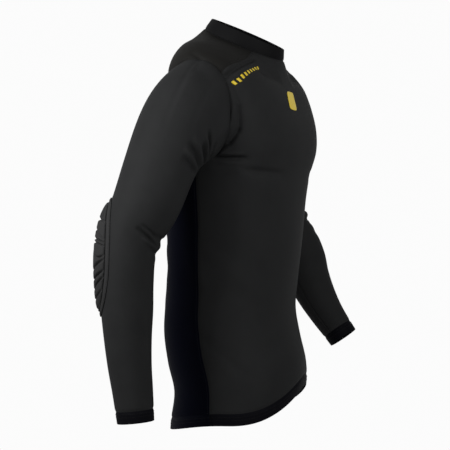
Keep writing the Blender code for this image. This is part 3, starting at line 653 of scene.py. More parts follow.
def shoulder_point(name, turns, down):
    """A point of the sleeve between the armhole seam and the top of the arm."""
    edge, into_hole = armhole_edge(name, turns)
    angle = np.radians(turns)
    top = (1 + np.sin(angle)) / 2
    arm_start = arm_point(name, angle, np.zeros_like(angle))
    arm_way = unit(arm_point(name, angle, np.full_like(angle, 0.004)) - arm_start)
    start = edge + into_hole * bpy.context.scene.shirt_cloth.seam_gap / 2
    behind = np.clip(-np.cos(angle), 0, 1) * SHOULDER_BACK
    sideways = np.stack([np.full_like(angle, SIDE[name]), behind, 0 * angle], axis=-1)
    top = top[..., None]
    leave = unit(sideways + into_hole * TOP_LEAN * top + arm_way * UNDER_LEAN * (1 - top))
    reach = np.linalg.norm(arm_start - start, axis=-1, keepdims=True) * SHOULDER_ROUNDNESS
    s = np.clip(1 + down / SHOULDER_LENGTH, 0, 1)[..., None]
    return (
        start * (2 * s**3 - 3 * s**2 + 1)
        + leave * reach * (s**3 - 2 * s**2 + s)
        + arm_start * (3 * s**2 - 2 * s**3)
        + arm_way * reach * (s**3 - s**2)
    )


def plain_sleeve(name, turns, down):
    """The sleeve without folds. Below 0 the distance leads up over the shoulder to the armhole."""
    below = arm_point(name, np.radians(turns), np.maximum(down, 0))
    if np.min(down) >= 0:
        return below
    return np.where((down < 0)[..., None], shoulder_point(name, turns, down), below)


def sleeve(name, turns, down):
    """Points of the sleeve cloth and their outward directions."""
    turns, down = np.asarray(turns, float), np.asarray(down, float)
    points = plain_sleeve(name, turns, down)
    turn_step = 0.5
    down_step = 0.0005
    around = plain_sleeve(name, turns + turn_step, down) - plain_sleeve(name, turns - turn_step, down)
    top = np.maximum(down - down_step, -SHOULDER_LENGTH)
    along = plain_sleeve(name, turns, top + 2 * down_step) - plain_sleeve(name, turns, top)
    outward = SIDE[name] * unit(np.cross(along, around))
    if np.min(down) < 0:
        seam_angle, seam_row = armhole(turns)
        seam_outward = torso(SIDE[name] * seam_angle, seam_row)[1]
        outward = at_shared_seam(outward, seam_outward, down + SHOULDER_LENGTH)
    flat_folds = [
        (math.radians(a) * SLEEVE_RADIUS, b, 0, math.radians(c) * SLEEVE_RADIUS, d, 0, half_width, height)
        for a, b, c, d, half_width, height in SLEEVE_FOLDS[name] + SHOULDER_CREASES + ELBOW_CREASES[name]
    ]
    wrapped, down = np.broadcast_arrays((turns + 180 - UNDERARM) % 360 - 180 + UNDERARM, down)
    flat = np.stack([np.radians(wrapped) * SLEEVE_RADIUS, down, 0 * down], axis=-1)
    fade = smooth_step((down + SHOULDER_LENGTH) / SHOULDER_FADE)
    return points + outward * (fold_height(flat, flat_folds) * fade)[..., None], outward


# Grids of points

def marks(length, step, fine_start=True, fine_end=True):
    """Shares from 0 to 1 along a length, close together near its sewn ends."""
    near = np.array(EDGE_ROWS) / length
    low = near if fine_start else near[:1]
    high = 1 - (near[::-1] if fine_end else near[:1])
    count = max(2, round((high[0] - low[-1]) * length / step))
    between = np.linspace(low[-1], high[0], count + 1)
    return np.concatenate([low, between[1:-1], high])


def lengths_along(points, axis):
    """Distance travelled over a grid of points along one of its directions."""
    steps = np.linalg.norm(np.diff(points, axis=axis), axis=-1)
    first = np.zeros_like(np.take(steps, [0], axis=axis))
    return np.concatenate([first, np.cumsum(steps, axis=axis)], axis=axis)


def dense(line, times=8):
    """A line of points with more points between them."""
    at = np.linspace(0, len(line) - 1, (len(line) - 1) * times + 1)
    return np.stack([np.interp(at, np.arange(len(line)), line[:, k]) for k in range(3)], axis=1)


def distance_to(points, lines):
    """Distance from each point of a grid to the nearest of some lines."""
    fine = np.concatenate([dense(line) for line in lines])
    tree = KDTree(len(fine))
    for number, point in enumerate(fine):
        tree.insert(point, number)
    tree.balance()
    found = [tree.find(point)[2] for point in points.reshape(-1, 3)]
    return np.array(found).reshape(points.shape[:-1])


def edges_of(points, sewn, ring=False):
    """The sewn edges of a grid of points, as lines."""
    lines = {
        "first": points[0], "last": points[-1],
        "bottom": points[:, 0], "top": points[:, -1],
    }
    if ring:
        lines = {name: np.concatenate([line, line[:1]]) for name, line in lines.items()}
    return [lines[name] for name in sewn]


def seam_relief(points, sewn, ring=False):
    """How far the cloth sinks towards its sewn edges."""
    cloth = bpy.context.scene.shirt_cloth
    return -cloth.seam_dip * bell(distance_to(points, edges_of(points, sewn, ring)), cloth.seam_reach)


def rolled(distance, thickness):
    """How far a folded edge is rounded off at a distance from it."""
    radius = thickness / 2
    short = np.clip(radius - distance, 0, radius)
    return radius - np.sqrt(np.clip(radius**2 - short**2, 0, None))


# Meshes

QUAD_CORNERS = {
    "outer": ((0, 0, 0), (1, 0, 0), (1, 1, 0), (0, 1, 0)),
    "inner": ((0, 0, 1), (0, 1, 1), (1, 1, 1), (1, 0, 1)),
    "bottom": ((0, 0, 0), (0, 0, 1), (1, 0, 1), (1, 0, 0)),
    "top": ((0, 0, 0), (1, 0, 0), (1, 0, 1), (0, 0, 1)),
    "first": ((0, 0, 0), (0, 1, 0), (0, 1, 1), (0, 0, 1)),
    "last": ((0, 0, 0), (0, 0, 1), (0, 1, 1), (0, 1, 0)),
}


def closed_cloth(name, outer, inner, material, ring=False):
    """A solid between two grids of points, with a map of its cloth in metres."""
    columns, rows = outer.shape[:2]
    laid = np.concatenate([outer, outer[:1]]) if ring else outer
    u = lengths_along(laid, 0)
    u = u - u[len(u) // 2]
    v = lengths_along(laid, 1)
    flat = np.stack([u, v], axis=-1).reshape(-1, 2)
    spans = np.arange(columns if ring else columns - 1)
    steps = np.arange(rows - 1)
    pieces = [
        ("outer", spans, steps), ("inner", spans, steps),
        ("bottom", spans, np.array([0])), ("top", spans, np.array([rows - 1])),
    ]
    if not ring:
        pieces += [("first", np.array([0]), steps), ("last", np.array([columns - 1]), steps)]
    corners, places = [], []
    for kind, across, up in pieces:
        i, k = [grid.ravel()[:, None] for grid in np.meshgrid(across, up, indexing="ij")]
        di, dk, side = np.array(QUAD_CORNERS[kind]).T
        corners.append(((i + di) % columns) * rows + k + dk + side * columns * rows)
        places.append((i + di) * rows + k + dk)
    corners, places = np.concatenate(corners), np.concatenate(places)
    points = np.concatenate([outer.reshape(-1, 3), inner.reshape(-1, 3)])
    quads = points[corners]
    volume = np.einsum("ij,ij->", quads[:, 0], np.cross(quads[:, 1], quads[:, 2]))
    volume += np.einsum("ij,ij->", quads[:, 0], np.cross(quads[:, 2], quads[:, 3]))
    if volume < 0:
        corners, places = corners[:, ::-1], places[:, ::-1]
    return mesh_object(name, points, corners.tolist(), material, flat[places.ravel()])


def mesh_object(name, points, faces, material, flat=None):
    """A smooth mesh object from points and faces."""
    mesh = bpy.data.meshes.new(name)
    mesh.from_pydata(points.tolist(), [], faces)
    if flat is not None:
        layer = mesh.uv_layers.new(name="cloth")
        layer.data.foreach_set("uv", flat.astype(np.float32).ravel())
    mesh.materials.append(material)
    mesh.shade_smooth()
    item = bpy.data.objects.new(name, mesh)
    bpy.context.scene.collection.objects.link(item)
    return item


def sewn_cloth(node, points, outward, thickness, material, sewn, ring=False, folded=None, relief=0.0):
    """Make the cloth of one node, drawn in at its sewn edges, with any folded edge rounded off."""
    gap = bpy.context.scene.shirt_cloth.seam_gap / 2
    grid = points.copy()
    lining = points.copy()
    for edge in sewn:
        draw_in(grid, outward, edge, ring, gap)
        draw_in(lining, outward, edge, ring, -SEAM_LAP)
    round_off = rolled(folded, thickness) if folded is not None else np.zeros(points.shape[:2])
    height = (relief + seam_relief(points, sewn, ring) - round_off)[..., None]
    outer = grid + outward * height
    inner = lining - outward * (thickness - round_off)[..., None]
    item = closed_cloth(f"{node}_cloth", outer, inner, material, ring)
    stand_in(item, node)


def draw_in(grid, outward, edge, ring, gap):
    """Move one edge of a grid of points into its own piece, square to the seam."""
    if edge in ("bottom", "top"):
        grid, outward = grid.transpose(1, 0, 2), outward.transpose(1, 0, 2)
    at, beside = (0, 1) if edge in ("first", "bottom") else (-1, -2)
    line = grid[at].copy()
    if ring:
        along = np.roll(line, -1, axis=0) - np.roll(line, 1, axis=0)
    else:
        along = np.gradient(line, axis=0)
    inward = unit(np.cross(outward[at], along))
    inward *= np.sign(np.sum(inward * (grid[beside] - line)))
    grid[at] = line + inward * gap


def stand_in(item, node):
    """Let a piece ride on the frame in place of one of its nodes."""
    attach(item, BODY)
    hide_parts(node)


# Materials

def start_material(name, colour, roughness, gloss):
    """A new material of one colour, with its shader."""
    material = bpy.data.materials.new(name)
    material.use_nodes = True
    material.diffuse_color = (*colour, 1.0)
    shader = material.node_tree.nodes["Principled BSDF"]
    shader.inputs["Base Color"].default_value = (*colour, 1.0)
    shader.inputs["Roughness"].default_value = roughness
    shader.inputs["Specular IOR Level"].default_value = gloss
    return material, shader


def add_node(material, kind, **values):
    """A new node with some of its inputs set."""
    node = material.node_tree.nodes.new(kind)
    for key, value in values.items():
        node.inputs[key.replace("_", " ")].default_value = value
    return node


def link(material, source, output, target, socket):
    """Join one node's output to another's input."""
    material.node_tree.links.new(source.outputs[output], target.inputs[socket])


def spots(material, scale, detail, roughness=0.5):
    """Soft noise that stays in place on the shirt."""
    body = add_node(material, "ShaderNodeTexCoord")
    noise = add_node(material, "ShaderNodeTexNoise", Scale=scale, Detail=detail, Roughness=roughness)
    link(material, body, "Object", noise, "Vector")
    return noise


def shade(material, shader, noise, colour, dark, light):
    """Let the colour wander between a darker and a lighter shade of itself."""
    shades = add_node(material, "ShaderNodeMix")
    shades.data_type = "RGBA"
    for socket, share in (("A", dark), ("B", light)):
        shades.inputs[socket].default_value = (*[part * share for part in colour], 1.0)
    link(material, noise, "Fac", shades, "Factor")
    link(material, shades, "Result", shader, "Base Color")


def raise_surface(material, shader, source, output, strength, distance):
    """Let a pattern stand up from the surface."""
    bump = add_node(material, "ShaderNodeBump", Strength=strength, Distance=distance)
    link(material, source, output, bump, "Height")
    link(material, bump, "Normal", shader, "Normal")


def knit(name, colour, roughness=0.60, gloss=CLOTH_GLOSS, relief=0.00006):
    """Satin stretch knit: fine wales and courses on the cloth's own map, and faint soft mottling."""
    if name in bpy.data.materials:
        return bpy.data.materials[name]
    material, shader = start_material(name, colour, roughness, gloss)
    wale = bpy.context.scene.shirt_cloth.wale
    place = add_node(material, "ShaderNodeUVMap")
    place.uv_map = "cloth"
    loops = add_node(material, "ShaderNodeMath")
    loops.operation = "MULTIPLY"
    for socket, direction, width in ((0, "X", wale), (1, "Y", wale * COURSE_SHARE)):
        wave = add_node(material, "ShaderNodeTexWave", Scale=WAVE_LENGTH / width, Distortion=0.3)
        wave.bands_direction = direction
        link(material, place, "UV", wave, "Vector")
        link(material, wave, "Fac", loops, socket)
    cloudy = spots(material, scale=26.0, detail=4.0, roughness=0.6)
    shade(material, shader, cloudy, colour, dark=0.84, light=1.18)
    shine = add_node(material, "ShaderNodeMapRange", To_Min=roughness - 0.05, To_Max=roughness + 0.07)
    link(material, cloudy, "Fac", shine, "Value")
    link(material, shine, "Result", shader, "Roughness")
    raise_surface(material, shader, loops, "Value", strength=0.5, distance=relief)
    return material


def thread_material():
    """Matt thread with a faint twist."""
    if "sewing_thread" in bpy.data.materials:
        return bpy.data.materials["sewing_thread"]
    colour = bpy.context.scene.shirt_sewing.colour
    material, shader = start_material("sewing_thread", colour, roughness=0.65, gloss=0.05)
    twist = spots(material, scale=900.0, detail=2.0)
    raise_surface(material, shader, twist, "Fac", strength=0.4, distance=0.0001)
    return material


def print_material():
    """Heat-set print with a soft sheen and a few worn specks."""
    colour = bpy.context.scene.shirt_sewing.mark_colour
    material, shader = start_material("printed_film", colour, roughness=0.45, gloss=0.10)
    specks = spots(material, scale=700.0, detail=3.0)
    shade(material, shader, specks, colour, dark=0.8, light=1.0)
    raise_surface(material, shader, specks, "Fac", strength=0.3, distance=0.00005)
    return material


# Body panels

def side_edge(back):
    """Torso angle and row up the side seam and round the armhole to the yoke, on the left side."""
    finish = YOKE_BACK if back else YOKE_FRONT
    start = UNDERARM + 360 if back else UNDERARM
    hole_turns = np.linspace(start, finish, round(abs(finish - start) / ARMHOLE_STEP) + 1)
    hole_angle, hole_row = armhole(hole_turns)
    up = marks(SIDE_LENGTH, CLOTH_STEP)[:-1]
    rows = HEM_SEAM + (hole_row[0] - HEM_SEAM) * up
    rise = smooth_step(up)
    angles = math.radians(SIDE_SEAM) * (1 - rise) + hole_angle[0] * rise
    hole_share = np.linspace(0, 1, len(hole_turns))
    return np.concatenate([angles, hole_angle]), np.concatenate([rows, hole_row]), up, hole_share


def yoke_front_seam(share, hole_angle, hole_row):
    """Torso angle and row of the yoke's front seam, from the neck at 0 to the left armhole at 1."""
    neck_angle = math.radians(YOKE_NECK_FRONT)
    bow = math.radians(YOKE_SEAM_BOW) * 4 * share * (1 - share)
    return neck_angle + (hole_angle - neck_angle) * share - bow, NECK + (hole_row - NECK) * share


def yoke_back_row(across, end_row):
    """Torso row of the yoke's back seam, from -1 at one armhole to 1 at the other."""
    return YOKE_BACK_SEAM + (end_row - YOKE_BACK_SEAM) * across**2


def front_places():
    """Torso angle and row of every point of the front panel."""
    side_angle, side_row, up, hole_share = side_edge(back=False)
    to_neck = marks(FRONT_YOKE_SEAM, CLOTH_STEP)[1:]
    seam_angle, seam_row = yoke_front_seam(1 - to_neck, side_angle[-1], side_row[-1])
    edge_angle = np.concatenate([side_angle, seam_angle])
    edge_row = np.concatenate([side_row, seam_row])
    stage = np.concatenate([up, 1 + hole_share, 2 + to_neck])
    middle_row = np.interp(stage, [0, 1, 2, 3], FRONT_MIDDLE_ROWS)
    across = (2 * marks(FRONT_WIDTH, CLOTH_STEP) - 1)[:, None]
    return across * edge_angle, middle_row + np.abs(across) ** 3 * (edge_row - middle_row)


def back_places():
    """Torso angle and row of every point of the back panel."""
    edge_angle, edge_row, up, hole_share = side_edge(back=True)
    low = BACK_UNDERARM_SHARE
    t = np.concatenate([up * low, low + hole_share * (1 - low)])[None, :]
    s = (2 * marks(BACK_WIDTH, CLOTH_STEP) - 1)[:, None]
    angle = math.pi - s * (math.pi - edge_angle[None, :])
    straight = (1 - t) * edge_row[0] + t * edge_row[-1]
    middle = (1 - t) * edge_row[0] + t * yoke_back_row(s, edge_row[-1])
    return angle, middle + s**2 * (edge_row[None, :] - straight)


def yoke_places():
    """Torso angle and row of every point of the yoke."""
    ends_angle, ends_row = armhole(np.array([YOKE_FRONT, YOKE_BACK]))
    f = 2 * marks(YOKE_AROUND, CLOTH_STEP) - 1
    at_side = np.abs(f) > YOKE_BACK_SHARE
    forward = np.clip((np.abs(f) - YOKE_BACK_SHARE) / (1 - YOKE_BACK_SHARE), 0, 1)
    hole_angle, hole_row = armhole(YOKE_BACK + (YOKE_FRONT - YOKE_BACK) * forward)
    across = -f / YOKE_BACK_SHARE
    back_angle = math.pi - across * (math.pi - ends_angle[1])
    back_row = yoke_back_row(across, ends_row[1])
    mirrored = np.where(f < 0, hole_angle, FULL_TURN - hole_angle)
    outer_angle = np.where(at_side, mirrored, back_angle)
    outer_row = np.where(at_side, hole_row, back_row)
    neck_front, neck_side = math.radians(YOKE_NECK_FRONT), math.radians(YOKE_NECK_SIDE)
    side_angle = neck_side + (neck_front - neck_side) * forward
    neck_mirrored = np.where(f < 0, side_angle, FULL_TURN - side_angle)
    neck_angle = np.where(at_side, neck_mirrored, math.pi - across * (math.pi - neck_side))
    share = marks(YOKE_DEPTH, CLOTH_STEP)[None, :]
    bow = math.radians(YOKE_SEAM_BOW) * 4 * share * (1 - share)
    angle = neck_angle[:, None] * (1 - share) + outer_angle[:, None] * share + f[:, None] ** 9 * bow
    return angle, NECK * (1 - share) + outer_row[:, None] * share


def body_panel(name, places, colour, gloss):
    """Make one panel of the body, sewn in along all its edges."""
    points, outward = torso(*places)
    sewn_cloth(
        name, points, outward, bpy.context.scene.shirt_cloth.thickness,
        knit(f"knit_{name}", colour, gloss=gloss), ("first", "last", "bottom", "top"),
    )


class SHIRT_OT_front(bpy.types.Operator):
    """Make the front panel"""
    bl_idname = "shirt.front"
    bl_label = "Front"

    def execute(self, context):
        body_panel("front", front_places(), context.scene.shirt_cloth.front_colour, CLOTH_GLOSS)
        return {"FINISHED"}


class SHIRT_OT_back(bpy.types.Operator):
    """Make the darker back panel"""
    bl_idname = "shirt.back"
    bl_label = "Back"

    def execute(self, context):
        body_panel("back", back_places(), context.scene.shirt_cloth.back_colour, BACK_GLOSS)
        return {"FINISHED"}


class SHIRT_OT_yoke(bpy.types.Operator):
    """Make the shoulder yoke"""
    bl_idname = "shirt.yoke"
    bl_label = "Yoke"

    def execute(self, context):
        body_panel("yoke", yoke_places(), context.scene.shirt_cloth.yoke_colour, CLOTH_GLOSS)
        return {"FINISHED"}


class SHIRT_OT_hems(bpy.types.Operator):
    """Make the two hem bands"""
    bl_idname = "shirt.hems"
    bl_label = "Hem bands"

    def execute(self, context):
        cloth = context.scene.shirt_cloth
        side = math.radians(SIDE_SEAM)
        rows = HEM_EDGE + (HEM_SEAM - HEM_EDGE) * marks(BAND_DEPTH, BAND_STEP)[None, :]
        spans = (
            ("front", -side, side, FRONT_WIDTH, cloth.band_colour),
            ("back", side, FULL_TURN - side, BACK_WIDTH, cloth.back_colour),
        )
        for name, start, finish, width, colour in spans:
            angles = start + (finish - start) * marks(width, CLOTH_STEP)[:, None]
            points, outward = torso(*np.broadcast_arrays(angles, rows))
            fabric = knit(f"knit_{name}_band", colour)
            sewn_cloth(
                f"hem_{name}", points, outward, cloth.band_thickness, fabric,
                ("first", "last", "top"), folded=lengths_along(points, 1),
            )
        return {"FINISHED"}


def collar_surface(angle, up):
    """A point of the collar, from its seam at 0 to its top edge at 1."""
    knots = np.linspace(0, 1, len(COLLAR_SECTIONS))
    values = read_sections(COLLAR_SECTIONS, knots, up)
    half_width, half_depth, middle_y, front_z, side_z, back_z = np.moveaxis(values, -1, 0)
    forward = np.cos(angle)
    z = tilted_height(forward, front_z, side_z, back_z)
    return np.stack([half_width * np.sin(angle), middle_y - half_depth * forward, z], axis=-1)


def collar_cloth(angle, up):
    """Points of the collar and their outward directions."""
    points = collar_surface(*np.broadcast_arrays(angle, up))
    outward = points - np.array([0.0, COLLAR_MIDDLE_Y, 0.0])
    outward[..., 2] = 0.0
    return points, unit(outward)


class SHIRT_OT_collar(bpy.types.Operator):
    """Make the stand collar"""
    bl_idname = "shirt.collar"
    bl_label = "Collar"

    def execute(self, context):
        cloth = context.scene.shirt_cloth
        angles = np.linspace(0, FULL_TURN, COLLAR_PLACES)[:-1, None]
        up = marks(COLLAR_HEIGHT, COLLAR_STEP)[None, :]
        points, outward = collar_cloth(angles, up)
        seam_outward = torso(angles, np.full_like(angles, NECK))[1]
        from_seam = np.broadcast_to(up * COLLAR_HEIGHT, points.shape[:2])
        outward = at_shared_seam(outward, seam_outward, from_seam)
        fabric = knit("knit_collar", cloth.collar_colour)
        from_top = lengths_along(points[:, ::-1], 1)[:, ::-1]
        sewn_cloth(
            "collar", points, outward, cloth.collar_thickness, fabric,
            ("bottom",), True, from_top,
        )
        return {"FINISHED"}


# Sleeves and cuffs

def sleeve_turns():
    """Angles round a sleeve, from its underarm seam and back to it, without the last."""
    return (UNDERARM + 360 * marks(FULL_TURN * SLEEVE_RADIUS, AROUND_STEP))[:-1]


def underarm_relief(turns):
    """How far a sleeve's cloth sinks along its underarm seam."""
    cloth = bpy.context.scene.shirt_cloth
    away = np.abs((turns - UNDERARM + 180) % 360 - 180)
    return -cloth.seam_dip * bell(np.radians(away) * SLEEVE_RADIUS, cloth.seam_reach)


class SHIRT_OT_sleeves(bpy.types.Operator):
    """Make both sleeves, from armhole to cuff seam"""
    bl_idname = "shirt.sleeves"
    bl_label = "Sleeves"

    def execute(self, context):
        cloth = context.scene.shirt_cloth
        fabric = knit("knit_front", cloth.front_colour)
        turns = sleeve_turns()[:, None]
        for name in SLEEVE_SECTIONS:
            length = sleeve_knots(name)[-1] - BAND_DEPTH
            over = SHOULDER_LENGTH * (marks(SHOULDER_REACH, SLEEVE_STEP, True, False) - 1)
            under = length * marks(length, SLEEVE_STEP, False, True)
            down = np.concatenate([over[:-1], under])[None, :]
            points, outward = sleeve(name, turns, down)
            relief = underarm_relief(turns) + 0 * down
            relief -= cloth.seam_dip * bell(lengths_along(points, 1), cloth.seam_reach)
            sewn_cloth(
                f"sleeve_{name}", points, outward, cloth.thickness, fabric,
                ("top",), True, relief=relief,
            )
        return {"FINISHED"}


class SHIRT_OT_cuffs(bpy.types.Operator):
    """Make the bands at the ends of the sleeves"""
    bl_idname = "shirt.cuffs"
    bl_label = "Cuffs"

    def execute(self, context):
        cloth = context.scene.shirt_cloth
        fabric = knit("knit_front_band", cloth.band_colour)
        turns = sleeve_turns()[:, None]
        for name in SLEEVE_SECTIONS:
            end = sleeve_knots(name)[-1]
            down = end - BAND_DEPTH * (1 - marks(BAND_DEPTH, BAND_STEP)[None, :])
            points, outward = sleeve(name, turns, down)
            relief = underarm_relief(turns) + 0 * down
            from_end = np.broadcast_to(end - down, points.shape[:2])
            sewn_cloth(
                f"cuff_{name}", points, outward, cloth.band_thickness, fabric,
                ("bottom",), True, from_end, relief,
            )
        return {"FINISHED"}


# Elbow pads

def pad_place(name, across, along):
    """Sleeve angle and distance of a place on the pad, measured in metres from its middle."""
    turns = PAD_ANGLE + np.degrees(across / PAD_SLEEVE_RADIUS)
    return turns, PAD_AT[name] + along


def quilt_left(across, along):
    """Share of the full foam that is left between and at the quilting lines."""
    left = np.ones_like(across)
    out = np.abs(across)
    for middle, half_way, side, pressed, half_width in PAD_QUILT:
        bend = 2 * (side + middle - 2 * half_way)
        line = middle + (side - middle - bend) * out + bend * out**2
        left *= 1 - pressed * bell((along - line) * PAD_HALF_LENGTH, half_width)
    at_top = smooth_step((LEAF_BELOW - along) / LEAF_FADE)
    for radius in LEAF_LINES:
        away = (out / np.sqrt(np.clip(1 - along**2, 0.02, 1)) - radius) * PAD_HALF_WIDTH * LEAF_SLOPE
        left *= 1 - LEAF_PRESSED * at_top * bell(away, LEAF_HALF_WIDTH)
    return left


class SHIRT_OT_elbow_pads(bpy.types.Operator):
    """Make the quilted foam pads on both elbows"""
    bl_idname = "shirt.elbow_pads"
    bl_label = "Elbow pads"

    def execute(self, context):
        pads = context.scene.shirt_pads
        fabric = knit("knit_pad", pads.colour, PAD_ROUGHNESS, relief=0.00012)
        p = np.linspace(-1, 1, round(2 * PAD_HALF_WIDTH / PAD_STEP) + 1)[:, None]
        q = np.linspace(-1, 1, round(2 * PAD_HALF_LENGTH / PAD_STEP) + 1)[None, :]
        across = p * np.sqrt(1 - q**2 / 2)
        along = q * np.sqrt(1 - p**2 / 2)
        dome = np.sqrt(np.clip(1 - (across**2 + along**2) ** 2, 0, 1))
        foam = PAD_EDGE + (pads.thickness - PAD_EDGE) * dome * quilt_left(across, along)
        for name in SLEEVE_SECTIONS:
            turns, down = pad_place(name, across * PAD_HALF_WIDTH, along * PAD_HALF_LENGTH)
            points, outward = sleeve(name, turns, down)
            inner = points + outward * PAD_LIFT
            outer = inner + outward * foam[..., None]
            item = closed_cloth(f"elbow_pad_{name}_quilt", outer, inner, fabric)
            stand_in(item, f"elbow_pad_{name}")
        return {"FINISHED"}


def border_ring(steps):
    """Places across and along the pad on rings round it, at some distances out from its edge."""
    round_it = np.linspace(0, FULL_TURN, SLEEVE_PLACES)[:-1, None]
    across = np.cos(round_it) * PAD_HALF_WIDTH
    along = np.sin(round_it) * PAD_HALF_LENGTH
    away = np.concatenate([across / PAD_HALF_WIDTH**2, along / PAD_HALF_LENGTH**2], axis=1)
    away = unit(away)
    return across + away[:, 0:1] * steps, along + away[:, 1:2] * steps


class SHIRT_OT_pad_borders(bpy.types.Operator):
    """Make the tape round each elbow pad"""
    bl_idname = "shirt.pad_borders"
    bl_label = "Pad borders"

    def execute(self, context):
        pads = context.scene.shirt_pads
        fabric = knit("knit_tape", pads.colour, PAD_ROUGHNESS)
        out = PAD_GAP + (BORDER_WIDTH - PAD_GAP) * np.linspace(0, 1, TAPE_PLACES)
        from_edge = np.minimum(out - out[0], out[-1] - out)
        ridge = TAPE_RIDGE * bell(from_edge - BORDER_WIDTH / 2, TAPE_RIDGE_WIDTH)
        ridge = ridge - TAPE_DENT * bell(from_edge - TAPE_DENT_AT, TAPE_DENT_WIDTH)
        height = pads.border_thickness - rolled(from_edge, pads.border_thickness) + ridge
        for name in SLEEVE_SECTIONS:
            turns, down = pad_place(name, *border_ring(out[None, :]))
            points, outward = sleeve(name, turns, down)
            inner = points + outward * PAD_LIFT
            outer = inner + outward * height[None, :, None]
            item = closed_cloth(f"pad_border_{name}_tape", outer, inner, fabric, True)
            stand_in(item, f"pad_border_{name}")
        return {"FINISHED"}


# Sewing

def stitch_model(length, thread):
    """One stitch, a short bar of thread with round ends along X, as points and faces."""
    bpy.ops.object.select_all(action="DESELECT")
    bpy.ops.mesh.primitive_uv_sphere_add(segments=6, ring_count=4, radius=thread / 2)
    item = bpy.context.object
    bpy.ops.object.mode_set(mode="EDIT")
    bpy.ops.mesh.select_all(action="SELECT")
    bpy.ops.transform.rotate(value=math.pi / 2, orient_axis="Y", center_override=(0, 0, 0))
    bpy.ops.transform.resize(value=(length / thread, 1, 1), center_override=(0, 0, 0))
    bpy.ops.object.mode_set(mode="OBJECT")
    points = np.array([vertex.co[:] for vertex in item.data.vertices])
    faces = [list(face.vertices) for face in item.data.polygons]
    bpy.data.objects.remove(item)
    return points, faces


def stitch_places(line, outward, ring=False):
    """Even places along a line on the cloth, with the directions along it and out of it."""
    pitch = bpy.context.scene.shirt_sewing.pitch
    if ring:
        line, outward = np.concatenate([line, line[:1]]), np.concatenate([outward, outward[:1]])
    gone = lengths_along(line, 0)
    count = max(1, int(gone[-1] / pitch))
    at = (np.arange(count) + 0.5) * gone[-1] / count

    def read(values, where):
        return np.stack([np.interp(where, gone, values[:, k]) for k in range(3)], axis=1)

    along = unit(read(line, at + pitch / 4) - read(line, at - pitch / 4))
    return read(line, at), along, unit(read(outward, at))


def sew(name, lines):
    """Stitches along some lines, joined in one piece.

    Each line has points, outward directions, and True if it is a ring.
    """
    sewing = bpy.context.scene.shirt_sewing
    shape, shape_faces = stitch_model(sewing.stitch, sewing.thread)
    points = []
    for line, outward, ring in lines:
        places, along, out = stitch_places(line, outward, ring)
        side = unit(np.cross(out, along))
        out = np.cross(along, side)
        for place, x, y, z in zip(places, along, side, out):
            points.append(shape @ np.stack([x, y, z]) + place + z * sewing.thread * THREAD_SHOWN)
    starts = range(0, len(points) * len(shape), len(shape))
    faces = [[start + corner for corner in face] for start in starts for face in shape_faces]
    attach(mesh_object(name, np.concatenate(points), faces, thread_material()), BODY)


def beside_seam(line, outward, distance, ring=False):
    """A line on the cloth beside another, square to it."""
    along = np.roll(line, -1, axis=0) - np.roll(line, 1, axis=0) if ring else np.gradient(line, axis=0)
    side = unit(np.cross(outward, along))
    return line + side * distance


def twin_rows(line, outward, distance, ring=False):
    """Two rows of stitches, one on each side of a seam."""
    return [(beside_seam(line, outward, way, ring), outward, ring) for way in (distance, -distance)]


class SHIRT_OT_sewing(bpy.types.Operator):
    """Make the stitches beside the seams"""
    bl_idname = "shirt.sewing"
    bl_label = "Sewing"

    def execute(self, context):
        beside = context.scene.shirt_sewing.beside
        fine = np.linspace(0, 1, SEAM_PLACES)
        side_angle, side_row, up, _ = side_edge(back=False)
        side_count = len(up) + 1
        hole_end = (side_angle[-1], side_row[-1])
        body_lines = []
        for side in (-1, 1):
            line, out = torso(side * side_angle[:side_count], side_row[:side_count])
            body_lines += twin_rows(line, out, beside)
            seam_angle, seam_row = yoke_front_seam(fine, *hole_end)
            line, out = torso(side * seam_angle, seam_row)
            body_lines += twin_rows(line, out, beside)
        ends_angle, ends_row = armhole(np.array([YOKE_FRONT, YOKE_BACK]))
        across = 2 * fine - 1
        line, out = torso(math.pi - across * (math.pi - ends_angle[1]), yoke_back_row(across, ends_row[1]))
        body_lines += twin_rows(line, out, beside)
        sew("stitches_body", body_lines)
        ring = np.linspace(0, FULL_TURN, TORSO_PLACES)[:-1]
        line, out = torso(ring, np.full_like(ring, NECK))
        collar_line, collar_out = collar_cloth(ring, np.full_like(ring, beside / COLLAR_HEIGHT))
        below = beside_seam(line, out, -beside, True)
        sew("stitches_neck", [(below, out, True), (collar_line, collar_out, True)])
        hem_rows = []
        for share in BAND_STITCHES:
            line, out = torso(ring, np.full_like(ring, HEM_SEAM * share))
            hem_rows.append((line, out, True))
        sew("stitches_hem", hem_rows)
        turns = np.linspace(0, 360, SLEEVE_PLACES)[:-1]
        hole_angle, hole_row = armhole(turns)
        for name in SLEEVE_SECTIONS:
            end = sleeve_knots(name)[-1]
            edge, into_hole = armhole_edge(name, turns)
            out = torso(SIDE[name] * hole_angle, hole_row)[1]
            rows = [(edge - into_hole * beside, out, True)]
            on_cuff = [end - BAND_DEPTH * share for share in BAND_STITCHES]
            for down in [beside - SHOULDER_LENGTH] + on_cuff:
                line, out = sleeve(name, turns, np.full_like(turns, down))
                rows.append((line, out, True))
            inseam = np.linspace(INSEAM_START - SHOULDER_LENGTH, end - BAND_DEPTH, SEAM_PLACES)
            line, out = sleeve(name, np.full_like(inseam, UNDERARM), inseam)
            rows += twin_rows(line, out, beside)
            sew(f"stitches_sleeve_{name}", rows)
            tape = []
            for distance in TAPE_STITCHES:
                across, along = border_ring(np.array([[distance]]))
                line, out = sleeve(name, *pad_place(name, across[:, 0], along[:, 0]))
                height = context.scene.shirt_pads.border_thickness + PAD_LIFT - TAPE_STITCH_DEPTH
                tape.append((line + out * height, out, True))
            sew(f"stitches_pad_{name}", tape)
        return {"FINISHED"}


# Printed marks

